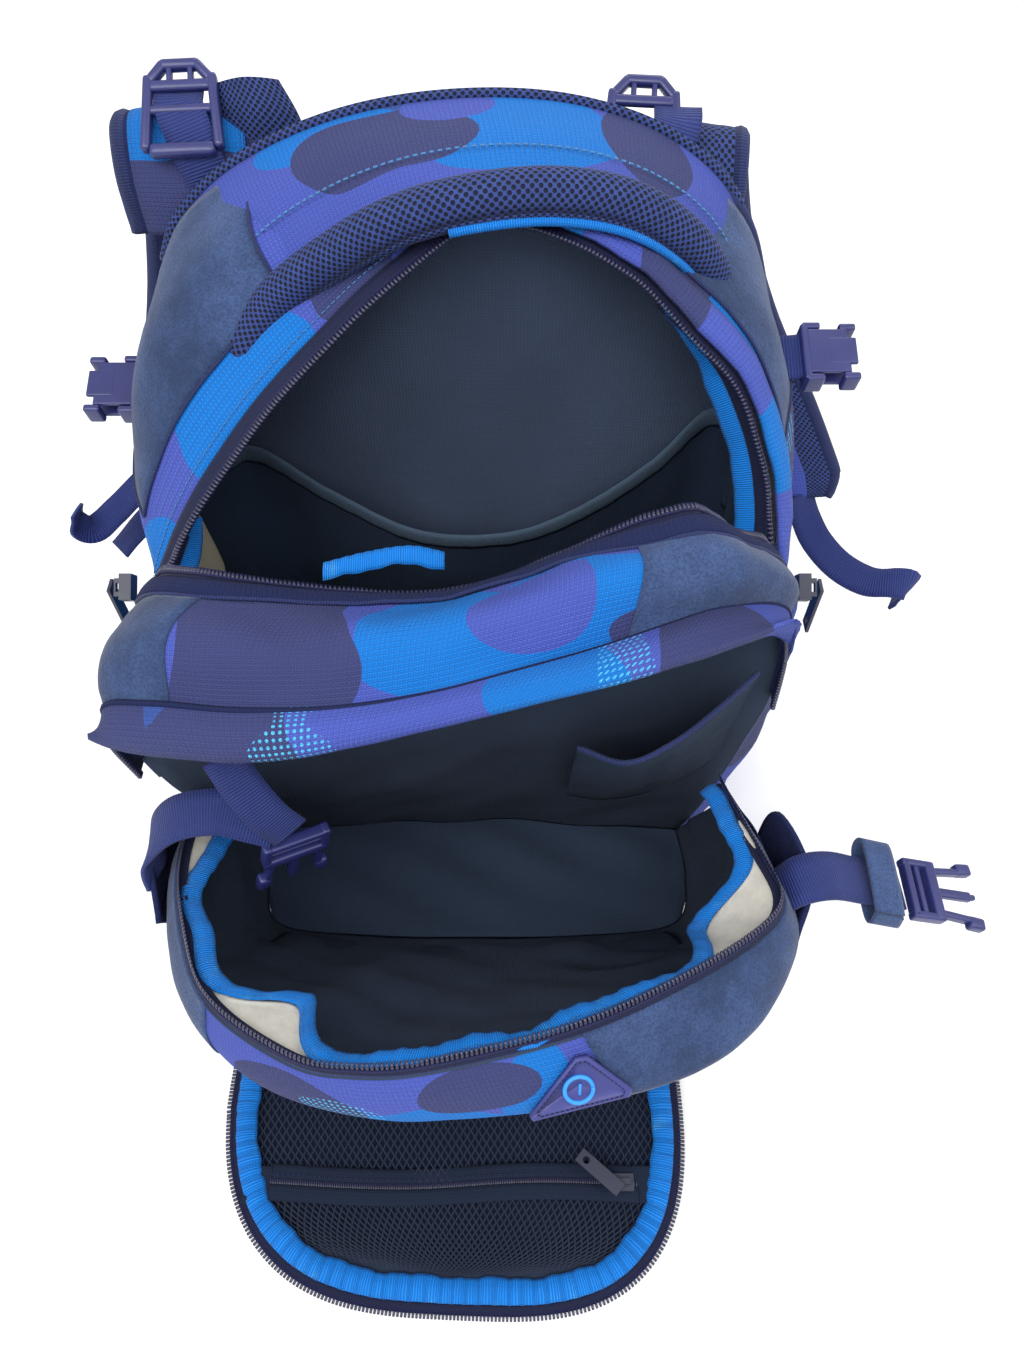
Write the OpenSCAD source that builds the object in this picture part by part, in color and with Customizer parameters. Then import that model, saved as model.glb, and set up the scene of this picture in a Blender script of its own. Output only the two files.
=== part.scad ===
/* [Bag] */
// Outer width of the main compartment
bag_w = 316; // [300:2:330]
// Height of the main compartment's arched roof
bag_h = 400; // [390:2:405]
// Depth of the main compartment, from the back panel to the divider
main_depth = 146; // [140:2:150]
// Depth of the second compartment at its floor
second_depth = 80; // [76:2:84]
// Thickness of a lined fabric wall
wall = 4; // [3:0.5:5]

/* [Openings] */
// How far the middle section leans forward from its closed place, in degrees
middle_open = 20.2; // [19:0.2:20.4]
// How far the front section leans forward from its closed place, in degrees
front_open = 36; // [34:1:37]

/* [Straps] */
// Width of a padded shoulder strap
strap_w = 68; // [60:2:70]
// Width of the webbing
webbing_w = 25; // [20:1:26]
// Thickness of the webbing
webbing_t = 2; // [1.5:0.5:2]

/* [Hidden] */

back_y = main_depth - 46;      // outer face of the back panel
divider_y = -46;               // plane of the divider between the compartments
front_y = divider_y - second_depth;
hinge_z = 8;                   // height of the fold lines of both sections
arch_power = 2.3;              // roundness of every arch
arch_steps = 28;
zip_end_z = 262;               // where the main zip ends on the side walls
zip_top_y = 46;                // where the main zip crosses the top
middle_pivot = [0, divider_y, hinge_z];
middle_axis = [0.939, -0.173, 0.297]; // tilted, so the section also twists a little as it leans
front_pivot = [0, front_y, hinge_z];
flap_pivot = [0, front_y - 22, hinge_z + 14];
flap_open = 90 - front_open;
middle_w = 290;
middle_h = 318;                // top of the middle section
front_w = 284;
front_h = 250;                 // top of the front section
flap_w = 252;
flap_h = 190;
flap_x = -11;                  // the flap hangs a little to the left
zip_w = 12;
zip_t = 2.4;
socket_size = [40, 34, 12];
plug_size = [20, 33, 8];

// An arch standing on z = foot: straight sides to the spring line, then a rounded top.
function arch(w, h, spring, foot = 0) = concat(
    [for (i = [0:arch_steps])
        let (t = 180 * i / arch_steps, c = cos(t), s = max(sin(t), 0))
        [w / 2 * sign(c) * pow(abs(c), 2 / arch_power),
         spring + (h - spring) * pow(s, 2 / arch_power)]],
    [[-w / 2, foot], [w / 2, foot]]);

// A solid arch between two planes of y.
module arch_block(w, h, spring, y0, y1, foot = 0)
    translate([0, y1, 0]) rotate([90, 0, 0]) linear_extrude(y1 - y0) polygon(arch(w, h, spring, foot));

// The wall of an arch, open at both ends and at its foot.
module arch_band(w, h, spring, t, y0, y1, foot = 0)
    translate([0, y1, 0]) rotate([90, 0, 0]) linear_extrude(y1 - y0) difference() {
        polygon(arch(w, h, spring, foot));
        polygon(arch(w - 2 * t, h - t, spring, foot - 1));
    }

// A prism along x with the given outline in y and z.
module profile(outline, w = 600)
    rotate([90, 0, 90]) translate([0, 0, -w / 2]) linear_extrude(w) polygon(outline);

module slab(x0, x1) translate([x0, -400, -50]) cube([x1 - x0, 800, 700]);

module at(p) translate(p) children();

module in_middle() at(middle_pivot) rotate(a = middle_open, v = middle_axis) at(-middle_pivot) children();
module in_front() at(front_pivot) rotate([front_open, 0, 0]) at(-front_pivot) children();
module in_flap() in_front() at(flap_pivot + [flap_x, 0, 0]) rotate([flap_open, 0, 0]) at(-flap_pivot) children();

function unit(v) = v / norm(v);
function tangent(p, i) = unit(p[min(i + 1, len(p) - 1)] - p[max(i - 1, 0)]);

// A flat strap that follows the points; side is the direction across it.
module ribbon(p, w, t, side) {
    n = len(p);
    ring = [for (i = [0:n - 1])
        let (k = unit(cross(tangent(p, i), side)), a = side * w / 2, b = k * t / 2)
        each [p[i] - a - b, p[i] + a - b, p[i] + a + b, p[i] - a + b]];
    polyhedron(ring, concat(
        [[0, 1, 2, 3]],
        [for (i = [0:n - 2], j = [0:3])
            [4 * i + j, 4 * i + 4 + j, 4 * i + 4 + (j + 1) % 4, 4 * i + (j + 1) % 4]],
        [[4 * n - 1, 4 * n - 2, 4 * n - 3, 4 * n - 4]]), convexity = 8);
}

// ---- main compartment ----

spring_h = zip_end_z;
rim_slope = atan2(bag_h - zip_end_z, zip_top_y - divider_y);

module main_shell()
    intersection() {
        arch_band(bag_w, bag_h, spring_h, wall, divider_y, back_y - 12, 6);
        profile([[divider_y, 0], [back_y - 12, 0], [back_y - 12, bag_h + 20],
                 [zip_top_y + 8, bag_h + 12], [divider_y, zip_end_z]]);
    }

module back_panel() color("#2c2f5c")
    arch_block(bag_w, bag_h + 18, spring_h, back_y - 12, back_y, 6);

module frame_sheet() color("#b9bcc4")
    arch_block(bag_w - 50, bag_h - 40, spring_h - 20, back_y - 15, back_y - 12.4, 20);

module back_pad(x) color("#232d50")
    translate([x, back_y + 0.2, 0]) rotate([90, 0, 180]) linear_extrude(13)
        offset(r = 18) square([62, 240], center = true);
module back_pad_left() translate([0, 0, 190]) back_pad(-72);
module back_pad_right() translate([0, 0, 190]) back_pad(72);

base_t = 5.6;
module base_panel() color("#28405f") linear_extrude(base_t)
    polygon([[-bag_w / 2, divider_y - 2], [bag_w / 2, divider_y - 2], [bag_w / 2, back_y - 16],
             [bag_w / 2 - 16, back_y], [16 - bag_w / 2, back_y], [-bag_w / 2, back_y - 16]]);

// Floor of the second compartment; its rear edge slants to leave room for the section's twist.
module second_floor() color("#28405f") linear_extrude(base_t)
    polygon([[-bag_w / 2, divider_y - 22], [-bag_w / 2, front_y + 18], [16 - bag_w / 2, front_y + 2],
             [bag_w / 2 - 16, front_y + 2], [bag_w / 2, front_y + 18], [bag_w / 2, divider_y - 4]]);

module main_side_left() color("#333a78") intersection() { main_shell(); slab(-400, -112); }
module main_side_right() color("#333a78") intersection() { main_shell(); slab(112, 400); }
module main_roof() color("#2a4fa8") intersection() { main_shell(); slab(-112, 112); }

// One zip half along the sloping rim of the main shell.
module main_zip_rear() color("#1c1e44") intersection() {
    arch_band(bag_w, bag_h, spring_h, zip_t + 1, divider_y - 20, zip_top_y + 10, zip_end_z);
    profile([[divider_y - zip_w, zip_end_z + 2], [divider_y - 0.3, zip_end_z + 1],
             [zip_top_y + 7.6, bag_h + 12], [zip_top_y - zip_w + 6, bag_h + 12]]);
}

module main_storm_flap() color("#34357e") intersection() {
    arch_band(bag_w + 8, bag_h + 4, spring_h, 2.4, divider_y - 30, zip_top_y + 20, zip_end_z);
    profile([[divider_y - 8, zip_end_z + 12], [divider_y + 20, zip_end_z + 4],
             [zip_top_y + 20, bag_h + 6], [zip_top_y - 8, bag_h + 8]]);
    translate([20, -100, 0]) cube([300, 300, handle_foot - 1]);
}

module document_pocket() color("#1f2e3b")
    arch_block(bag_w - 30, 262, 240, back_y - 30, back_y - 26, 12);

module pen_pocket() color("#1f2e3b") for (i = [0:2])
    translate([bag_w / 2 - wall - 4.6, 68 - 18 * i, 200]) cube([4, 17, 60]);

module care_labels() color("#c9c4b0") for (i = [0, 1])
    translate([-bag_w / 2 + wall + 1, 24 + 28 * i, 212 - 14 * i]) cube([1.4, 26, 40]);

handle_top = bag_h + 22;
handle_foot = 346;             // height at which its ends are sewn down
module carry_handle() color("#2b55b0")
    intersection() {
        arch_band(bag_w + 24, handle_top, spring_h, 11, zip_top_y - 10, back_y - 12.4);
        translate([-300, -300, handle_foot]) cube(600);
    }

// Socket half of a side-release buckle with its fabric tab; out is the side it faces.
module buckle_socket(out) color("#23235a")
    translate([out * (bag_w / 2 + 3), 50, out > 0 ? 322 : 302]) rotate([0, 0, out > 0 ? 0 : 180]) {
        translate([6, -socket_size[1] / 2, -socket_size[2] / 2]) difference() {
            cube([socket_size[0] - 12, socket_size[1], socket_size[2]]);
            translate([4, 3, 2]) cube([socket_size[0], socket_size[1] - 6, socket_size[2] - 4]);
        }
        translate([-2.6, -12, -1.5]) cube([8.6, 24, 3]);
    }
module buckle_socket_left() buckle_socket(-1);
module buckle_socket_right() buckle_socket(1);

function strap_x(s) = s < 0 ? 132 : 100;    // centre of a shoulder strap where it leaves the back
function strap_top(s) = s < 0 ? 394 : 386;
function strap_flare(s) = s < 0 ? 56 : 108; // how far its lower end has swung out
function strap_path(s) =
    let (x = strap_x(s), z = strap_top(s), f = strap_flare(s))
    [[s * x, back_y + 10, z - 40], [s * (x + 1), back_y + 14, z - 14],
     [s * (x + 2), back_y + 30, z + 2], [s * (x + 0.06 * f), back_y + 50, z - 12],
     [s * (x + 0.18 * f), back_y + 60, z - 60], [s * (x + 0.42 * f), back_y + 54, z - 116],
     [s * (x + 0.72 * f), back_y + 37, z - 168], [s * (x + f), back_y + 14, z - 222]];
module shoulder_strap(s) color("#2d58ad") ribbon(strap_path(s), strap_w, 12, [1, 0, 0]);
module shoulder_strap_left() shoulder_strap(-1);
module shoulder_strap_right() shoulder_strap(1);

function webbing_path(s) =
    let (e = strap_path(s)[7], x = s * 146)
    [e + [0, -3, -8], e * 0.8 + [x, back_y + 24, 130] * 0.2 + [0, 0, -6], [(e[0] + x) / 2, back_y + 28, 100],
     [x + (e[0] - x) * 0.2, back_y + 20, 66], [x, back_y + 12, 40], [x, back_y + 6, 24]];
module strap_webbing(s) color("#2a3064") ribbon(webbing_path(s), webbing_w, webbing_t, [1, 0, 0]);
module strap_webbing_left() strap_webbing(-1);
module strap_webbing_right() strap_webbing(1);

// Ladder-lock adjuster in front of the crown of a shoulder strap, facing forward and up.
function adjuster_at(s) = s < 0 ? [132, 22, 408] : [86, 27, 398];
module strap_adjuster(s) color("#22225a")
    translate([s * adjuster_at(s)[0], back_y + adjuster_at(s)[1], adjuster_at(s)[2]]) rotate([32, 0, 0]) difference() {
        cube([38, 46, 5], center = true);
        for (y = [-13, 0, 13]) translate([0, y, 0]) cube([26, 7, 20], center = true);
    }
module strap_adjuster_left() strap_adjuster(-1);
module strap_adjuster_right() strap_adjuster(1);

// Webbing from the bag's top edge towards the adjuster.
module load_lifter(s) color("#2a3064")
    let (x = strap_x(s), z = strap_top(s))
        ribbon([[s * (x - 16), back_y + 1.4, z - 36], [s * (x - 16), back_y + 1.6, z - 20],
                [s * (x - 16), back_y + 2.2, z - 7]],
            webbing_w, webbing_t, [1, 0, 0]);
module load_lifter_left() load_lifter(-1);
module load_lifter_right() load_lifter(1);

// Slider of a zip with its bridge; the pull tab is a body of its own.
module slider() union() {
    cube([9, 13, 6], center = true);
    translate([0, 0, 4.5]) difference() {
        cube([3, 9, 4], center = true);
        cube([10, 4.4, 2.2], center = true);
    }
}
module pull_tab(l) difference() {
    translate([-4, -l, -0.8]) cube([8, l + 3, 1.6]);
    translate([0, -l + 5, -2]) cylinder(d = 4, h = 4, $fn = 24);
}
function main_slider_at(s) = [s * (bag_w / 2 + 9), divider_y - 2, zip_end_z - 2];
module main_slider(s) color("#2b2b33")
    at(main_slider_at(s)) rotate([90 - rim_slope, 0, 0]) rotate([0, s * 90, 0]) slider();
module main_slider_left() main_slider(-1);
module main_slider_right() main_slider(1);
module main_pull(s) color("#2b2b33")
    at(main_slider_at(s) + [s * 8.4, 0, -1]) rotate([90, 0, 0]) rotate([0, 0, 0])
        rotate([0, s * 90, 0]) pull_tab(30);
module main_pull_left() main_pull(-1);
module main_pull_right() main_pull(1);

// ---- middle section ----

middle_spring = 236;
module divider_panel() color("#24333f") in_middle()
    arch_block(middle_w - 50, middle_h - 8, middle_spring - 14, divider_y - 3, divider_y + 1, hinge_z + 22);

module middle_shell(y0, y1) arch_band(middle_w, middle_h, middle_spring, wall, y0, y1, side_foot);
side_foot = 216;               // lower end of the middle section's side walls
roof_y0 = divider_y - 6;
roof_y1 = divider_y + 52;
module middle_cut() profile([[roof_y0 - 20, side_foot], [roof_y1 - 30, side_foot], [roof_y1, middle_h - 40],
                             [roof_y1, middle_h + 10], [roof_y0 - 20, middle_h + 10]]);
module middle_roof() color("#1f74cf") in_middle() intersection() {
    middle_shell(roof_y0, roof_y1);
    middle_cut();
    slab(-118, 118);
}
module middle_side(s) color("#2c2f5c") in_middle() intersection() {
    middle_shell(roof_y0, roof_y1);
    middle_cut();
    slab(s < 0 ? -400 : 118, s < 0 ? -118 : 400);
}
module middle_side_left() middle_side(-1);
module middle_side_right() middle_side(1);

module main_zip_front() color("#1c1e44") in_middle()
    arch_band(middle_w - 7, middle_h - 1, middle_spring, zip_t + 1, roof_y1 + 0.2, roof_y1 + zip_w,
        side_foot + 16);

module middle_storm_flap() color("#3a3f86") in_middle()
    arch_band(middle_w + 14, middle_h + 5, middle_spring, 3, roof_y0 - 24, roof_y0 + 12, 232);

module second_zip_rear() color("#1c1e44") in_middle()
    arch_band(middle_w - 4, middle_h - 2, middle_spring, zip_t, roof_y0 - zip_w, roof_y0 - 0.2, side_foot + 12);

module organiser_pocket() color("#1f2a36") in_middle() difference() {
    translate([22, divider_y - 19, 150]) cube([88, 15.6, 80]);
    translate([25, divider_y - 16, 153]) cube([82, 12.6, 100]);
}

// ---- front section ----

front_spring = 132;
front_back_y = front_y + 92; // rear end of the second compartment's side walls
module front_shell()
    intersection() {
        arch_band(front_w, front_h, front_spring, wall, front_y - 24, front_back_y, hinge_z + 4);
        profile([[front_y, 0], [front_y + 40, 0], [front_back_y, front_spring - 40],
                 [front_back_y, front_spring], [front_y, front_h + 8]]);
    }
module front_panel() color("#24333f") in_front()
    arch_block(front_w - 2 * wall - 1, front_h - wall - 0.5, front_spring, front_y, front_y + 4, hinge_z + 2);
module front_side_left() color("#28405f") in_front() intersection() { front_shell(); slab(-400, -100); }
module front_side_right() color("#28405f") in_front() intersection() { front_shell(); slab(100, 400); }
module front_roof() color("#34357e") in_front() union() {
    intersection() { front_shell(); slab(-100, 100); }
    arch_band(front_w, front_h, front_spring, wall, front_y - 21, front_y, 40);
}
module second_zip_front() color("#1c1e44") in_front() intersection() {
    arch_band(front_w + 6, front_h + 3, front_spring, zip_t, front_y - 4, front_back_y, 90);
    profile([[front_back_y, front_spring], [front_back_y, front_spring - zip_w],
             [front_y - 4, front_h - 4], [front_y - 4, front_h + 14]]);
}
module front_binding() color("#2f86d8") in_front() intersection() {
    arch_band(front_w - 2 * wall - 1, front_h - wall - 0.5, front_spring, 3, front_y + 4.2, front_back_y, 90);
    profile([[front_back_y, front_spring], [front_back_y, front_spring - 22],
             [front_y + 4, front_h - 30], [front_y + 4, front_h + 8]]);
}
module front_patch() color("#2a2d66") in_front()
    translate([50, front_y - 14, front_h - 3.6]) rotate([0, 12, 0]) linear_extrude(2.2)
        offset(r = 3, $fn = 24) polygon([[-20, -5], [20, -5], [0, 6]]);

// Triangular tab and webbing that carry the plug half of a side buckle.
anchor_z = 168;
module strap_anchor(s) color("#2a3064") in_front()
    translate([s * (front_w / 2 + 1.4 + 3.2), front_y + 34, anchor_z - 14]) rotate([0, -90, 0])
        translate([0, 0, -1.6]) linear_extrude(3.2) polygon([[-26, -32], [30, -26], [38, 26], [4, 30]]);
module strap_anchor_left() strap_anchor(-1);
module strap_anchor_right() strap_anchor(1);

right_webbing = [[152, -174, 174], [162, -171, 178], [180, -166, 174], [201, -161, 163], [222, -160, 154]];
module side_webbing_right() color("#2a3064") ribbon(right_webbing, webbing_w, webbing_t, [0, 1, 0]);
module webbing_keeper() color("#28405f") translate([210.5, -160.6, 159]) rotate([0, 23.2, 0]) difference() {
    cube([15, 36, 9], center = true);
    cube([20, 29, 4.4], center = true);
}
module side_webbing_left() color("#2a3064")
    ribbon([[-149.6, -184, 168], [-149.8, -184, 182], [-149.8, -183, 195]], webbing_w, webbing_t, [0, 1, 0]);

// Free end of the left webbing: it hangs from the middle section and holds the left plug.
module buckle_webbing_left() color("#2a3064")
    ribbon([[-100, -155.8, 252], [-96, -157.6, 239], [-88, -160, 224], [-81, -160, 213]],
        webbing_w - 2, webbing_t, [0.88, 0.47, 0]);

// Plug half of a side-release buckle, pointing along +x, with its bar at the origin.
module buckle_plug() difference() {
    union() {
        translate([2, -plug_size[1] / 2, -plug_size[2] / 2]) cube(plug_size);
        for (y = [-13, 0, 13]) translate([plug_size[0], y - 2.5, -2]) cube([26, 5, 4]);
        for (y = [-14, 14]) translate([plug_size[0] + 18, y - 3.5, -2.5]) cube([10, 7, 5]);
    }
    translate([5, -13, -10]) cube([5, 26, 20]);
    translate([12, -13, -10]) cube([4, 26, 20]);
}
module buckle_plug_right() color("#23235a") translate([224, -160, 153]) rotate([0, 18, 0]) buckle_plug();
module buckle_plug_left() color("#23235a") translate([-79, -157.4, 209]) rotate([0, 103, 0]) rotate([-62, 0, 0]) buckle_plug();

// ---- front pocket flap ----

flap_out = flap_pivot[1] - 4;  // outer face of the closed flap
module flap_block(inset, y0, y1)
    arch_block(flap_w - 2 * inset, flap_pivot[2] + flap_h - inset, flap_pivot[2] + 110, y0, y1,
        flap_pivot[2] + 6);
module flap_ring(outset, t, y0, y1)
    arch_band(flap_w + 2 * outset, flap_pivot[2] + flap_h + outset, flap_pivot[2] + 110, t, y0, y1,
        flap_pivot[2] + 6);
module flap_panel() color("#2a4fa8") in_flap() flap_block(0, flap_out, flap_out + 3.4);
module flap_mesh() color("#222c3a") in_flap() difference() {
    flap_block(12, flap_out + 5, flap_out + 6.6);
    translate([-130, flap_out + 3, flap_pivot[2] + 118]) cube([260, 6, 14]);
}
module flap_binding() color("#2f86d8") in_flap() flap_ring(-1, 11, flap_out + 3.6, flap_out + 10);
module flap_zip() color("#1c1e44") in_flap() flap_ring(9, 8.8, flap_out + 2, flap_out + 5);
module pocket_zip() color("#20283a") in_flap()
    translate([-110, flap_out + 4.6, flap_pivot[2] + 118.4]) cube([220, 2.2, 13.2]);
slider_x = 96;
slider_z = flap_pivot[2] + 125;
module pocket_slider() color("#3a3c46") in_flap()
    translate([slider_x, flap_out + 10.2, slider_z]) rotate([-90, 90, 0]) slider();
module pocket_pull() color("#3a3c46") in_flap()
    translate([slider_x - 4, flap_out + 17.8, slider_z + 3]) rotate([-90, 0, 0]) rotate([0, 0, -130]) pull_tab(26);

back_panel();
frame_sheet();
back_pad_left();
back_pad_right();
base_panel();
main_side_left();
main_side_right();
main_roof();
main_zip_rear();
main_storm_flap();
document_pocket();
pen_pocket();
care_labels();
carry_handle();
buckle_socket_left();
buckle_socket_right();
load_lifter_left();
load_lifter_right();
main_slider_left();
main_slider_right();
main_pull_left();
main_pull_right();
shoulder_strap_left();
shoulder_strap_right();
strap_adjuster_left();
strap_adjuster_right();
strap_webbing_left();
strap_webbing_right();
divider_panel();
second_floor();
middle_roof();
middle_side_left();
middle_side_right();
main_zip_front();
middle_storm_flap();
second_zip_rear();
organiser_pocket();
front_panel();
front_side_left();
front_side_right();
front_roof();
second_zip_front();
front_binding();
front_patch();
strap_anchor_left();
strap_anchor_right();
side_webbing_left();
side_webbing_right();
webbing_keeper();
buckle_webbing_left();
buckle_plug_left();
buckle_plug_right();
flap_panel();
flap_mesh();
flap_zip();
flap_binding();
pocket_zip();
pocket_slider();
pocket_pull();
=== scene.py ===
"""An unzipped camouflage backpack standing on its base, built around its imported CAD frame."""
import math
import random

import bmesh
import bpy
import numpy as np
from mathutils import Matrix, Vector


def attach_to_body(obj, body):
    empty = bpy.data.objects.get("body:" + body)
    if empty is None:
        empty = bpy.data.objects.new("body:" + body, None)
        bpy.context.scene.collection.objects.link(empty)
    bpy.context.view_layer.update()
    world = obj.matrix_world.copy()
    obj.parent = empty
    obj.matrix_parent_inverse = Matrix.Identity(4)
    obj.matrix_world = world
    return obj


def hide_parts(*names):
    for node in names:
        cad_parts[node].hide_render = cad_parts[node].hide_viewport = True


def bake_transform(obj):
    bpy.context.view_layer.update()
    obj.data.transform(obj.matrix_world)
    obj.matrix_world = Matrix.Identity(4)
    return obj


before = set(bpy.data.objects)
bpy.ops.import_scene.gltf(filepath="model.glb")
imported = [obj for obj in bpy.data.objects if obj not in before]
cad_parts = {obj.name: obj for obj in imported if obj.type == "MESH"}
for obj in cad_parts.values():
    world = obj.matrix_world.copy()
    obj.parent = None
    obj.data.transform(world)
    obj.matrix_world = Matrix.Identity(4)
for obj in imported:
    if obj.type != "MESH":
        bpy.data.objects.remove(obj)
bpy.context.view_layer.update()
random.seed(7)

# ---------------------------------------------------------------- camera, light, floor

CM = 0.01  # the shapes below are written in centimetres
CAMERA_AT = (2.3, -37.7, 64.8)
CAMERA_DOWN = 55  # degrees below the horizon
LENS_MM = 27.0


def make_camera():
    data = bpy.data.cameras.new("camera")
    data.lens = LENS_MM
    data.sensor_width = 36
    camera = bpy.data.objects.new("camera", data)
    camera.location = Vector(CAMERA_AT) * CM
    camera.rotation_euler = (math.radians(90 - CAMERA_DOWN), 0, 0)
    bpy.context.scene.collection.objects.link(camera)
    bpy.context.scene.camera = camera


def area_light(name, at, aim, size, power):
    data = bpy.data.lights.new(name, "AREA")
    data.size = size
    data.energy = power
    light = bpy.data.objects.new(name, data)
    light.location = at
    light.rotation_euler = (Vector(aim) - Vector(at)).to_track_quat("-Z", "Y").to_euler()
    bpy.context.scene.collection.objects.link(light)


def make_stage():
    world = bpy.data.worlds.new("studio")
    world.use_nodes = True
    world.node_tree.nodes["Background"].inputs["Color"].default_value = (1, 1, 1, 1)
    world.node_tree.nodes["Background"].inputs["Strength"].default_value = 0.82
    bpy.context.scene.world = world
    bpy.context.scene.view_settings.view_transform = "Standard"
    area_light("key_light", (-0.9, -0.9, 1.9), (0, 0, 0.15), 1.2, 26)
    area_light("fill_light", (1.3, -0.3, 1.5), (0, 0, 0.2), 1.4, 13)
    area_light("front_light", (0.05, -0.8, 1.3), (0, -0.05, 0.25), 0.6, 8)
    area_light("rim_light", (0.2, 1.5, 1.4), (0, 0, 0.3), 1.2, 10)
    bpy.ops.mesh.primitive_plane_add(size=8, location=(0, 0, -0.0005))
    floor = bpy.context.object
    floor.name = "floor"
    floor.data.materials.append(floor_material())


# ---------------------------------------------------------------- materials


class Nodes:
    """Small helper for building one procedural material."""

    def __init__(self, name, roughness=0.8, sheen=0.0, coat=0.0, specular=0.3):
        self.material = bpy.data.materials.new(name)
        self.material.use_nodes = True
        self.tree = self.material.node_tree
        self.shader = self.tree.nodes["Principled BSDF"]
        self.shader.inputs["Roughness"].default_value = roughness
        self.shader.inputs["Sheen Weight"].default_value = sheen
        self.shader.inputs["Sheen Roughness"].default_value = 0.4
        self.shader.inputs["Coat Weight"].default_value = coat
        self.shader.inputs["Specular IOR Level"].default_value = specular

    def node(self, kind, **values):
        made = self.tree.nodes.new(kind)
        for key, value in values.items():
            setattr(made, key, value)
        return made

    def put(self, socket, value):
        if hasattr(value, "is_output"):
            self.tree.links.new(value, socket)
        elif isinstance(value, (tuple, list)) and len(value) == 3 and socket.type == "RGBA":
            socket.default_value = (*value, 1)
        else:
            socket.default_value = value

    def math(self, operation, a, b=0.0, c=0.0):
        made = self.node("ShaderNodeMath", operation=operation)
        self.put(made.inputs[0], a)
        self.put(made.inputs[1], b)
        self.put(made.inputs[2], c)
        return made.outputs[0]

    def mix(self, factor, a, b):
        made = self.node("ShaderNodeMix", data_type="RGBA")
        self.put(made.inputs[0], factor)
        self.put(made.inputs[6], a)
        self.put(made.inputs[7], b)
        return made.outputs[2]

    def noise(self, vector, scale, detail=3.0, roughness=0.55):
        made = self.node("ShaderNodeTexNoise")
        made.inputs["Scale"].default_value = scale
        made.inputs["Detail"].default_value = detail
        made.inputs["Roughness"].default_value = roughness
        self.put(made.inputs["Vector"], vector)
        return made.outputs[0]

    def step(self, value, low, high):
        made = self.node("ShaderNodeMapRange", interpolation_type="SMOOTHSTEP")
        self.put(made.inputs["Value"], value)
        self.put(made.inputs["From Min"], low)
        self.put(made.inputs["From Max"], high)
        return made.outputs[0]

    def place(self):
        return self.node("ShaderNodeTexCoord").outputs["Object"]

    def uv(self):
        """Surface coordinates in metres along and across the piece."""
        split = self.node("ShaderNodeSeparateXYZ")
        self.put(split.inputs[0], self.node("ShaderNodeUVMap", uv_map="cloth").outputs[0])
        return split.outputs[0], split.outputs[1]

    def attribute(self, name):
        return self.node("ShaderNodeAttribute", attribute_name=name).outputs["Fac"]

    def wave(self, coordinate, pitch):
        """0 to 1 and back, once every pitch metres."""
        turned = self.math("MULTIPLY", coordinate, 2 * math.pi / pitch)
        return self.math("MULTIPLY_ADD", self.math("SINE", turned), 0.5, 0.5)

    def weave(self, pitch):
        """Height of a plain weave: two crossing rows of threads."""
        u, v = self.uv()
        half = 2 * pitch
        over = self.math("MULTIPLY", self.wave(u, pitch), self.wave(v, half))
        under = self.math("MULTIPLY", self.wave(v, pitch), self.math("SUBTRACT", 1.0, self.wave(u, half)))
        return self.math("MAXIMUM", over, under)

    def bump(self, height, distance, strength=1.0, before=None):
        made = self.node("ShaderNodeBump")
        self.put(made.inputs["Height"], height)
        made.inputs["Distance"].default_value = distance
        made.inputs["Strength"].default_value = strength
        if before is not None:
            self.put(made.inputs["Normal"], before)
        return made.outputs[0]

    def done(self, color, normal=None, roughness=None):
        self.put(self.shader.inputs["Base Color"], color)
        if normal is not None:
            self.put(self.shader.inputs["Normal"], normal)
        if roughness is not None:
            self.put(self.shader.inputs["Roughness"], roughness)
        return self.material


def srgb(r, g, b):
    return tuple(((c / 255 + 0.055) / 1.055) ** 2.4 if c > 10 else c / 3295 for c in (r, g, b))


def toned(color, factor):
    return tuple(c * factor for c in color)


AZURE = srgb(2, 117, 208)
VIOLET = srgb(74, 88, 182)
AUBERGINE = srgb(58, 60, 110)
SLATE = srgb(54, 82, 158)
CYAN = srgb(80, 190, 240)
SUEDE = srgb(53, 69, 103)
LINING = srgb(66, 80, 104)
BACK_LINING = srgb(92, 107, 136)
FLAP_LINING = srgb(36, 47, 72)


def floor_material():
    m = Nodes("floor_paper", roughness=0.9, specular=0.1)
    grain = m.noise(m.place(), 60)
    return m.done(m.mix(grain, (0.86, 0.86, 0.86), (0.9, 0.9, 0.9)))


def camo_material():
    """Printed camouflage: each colour shows where its own field, wobbled by noise, is above zero."""
    m = Nodes("camo_print", roughness=0.8, sheen=0.02, specular=0.2)
    wobble = m.math("MULTIPLY_ADD", m.noise(m.place(), 13, 1.2), 1.7, -0.87)
    color = VIOLET
    for field, tint in (("ink_slate", SLATE), ("ink_azure", AZURE), ("ink_dark", AUBERGINE),
                        ("ink_violet", VIOLET)):
        value = m.math("ADD", m.attribute(field), wobble)
        color = m.mix(m.step(value, -0.004, 0.004), color, tint)
    u, v = m.uv()
    dot = m.math("MULTIPLY", m.wave(u, 0.0027), m.wave(v, 0.0027))
    halo = m.math("ADD", m.attribute("ink_dots"), wobble)
    dots = m.math("MULTIPLY", m.step(dot, 0.45, 0.52), m.step(halo, -0.01, 0.01))
    color = m.mix(dots, color, CYAN)
    threads = m.weave(0.0011)
    # painted shade: darker in the gaps between the threads, following the weave's height
    color = m.mix(m.math("MULTIPLY", m.math("SUBTRACT", 1.0, threads), 0.5), color, (0.006, 0.007, 0.02))
    fade = m.math("MULTIPLY", m.noise(m.place(), 9, 4), 0.05)
    color = m.mix(fade, color, (0.12, 0.3, 0.6))
    return m.done(color, m.bump(threads, 0.0005, 0.9))


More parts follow.
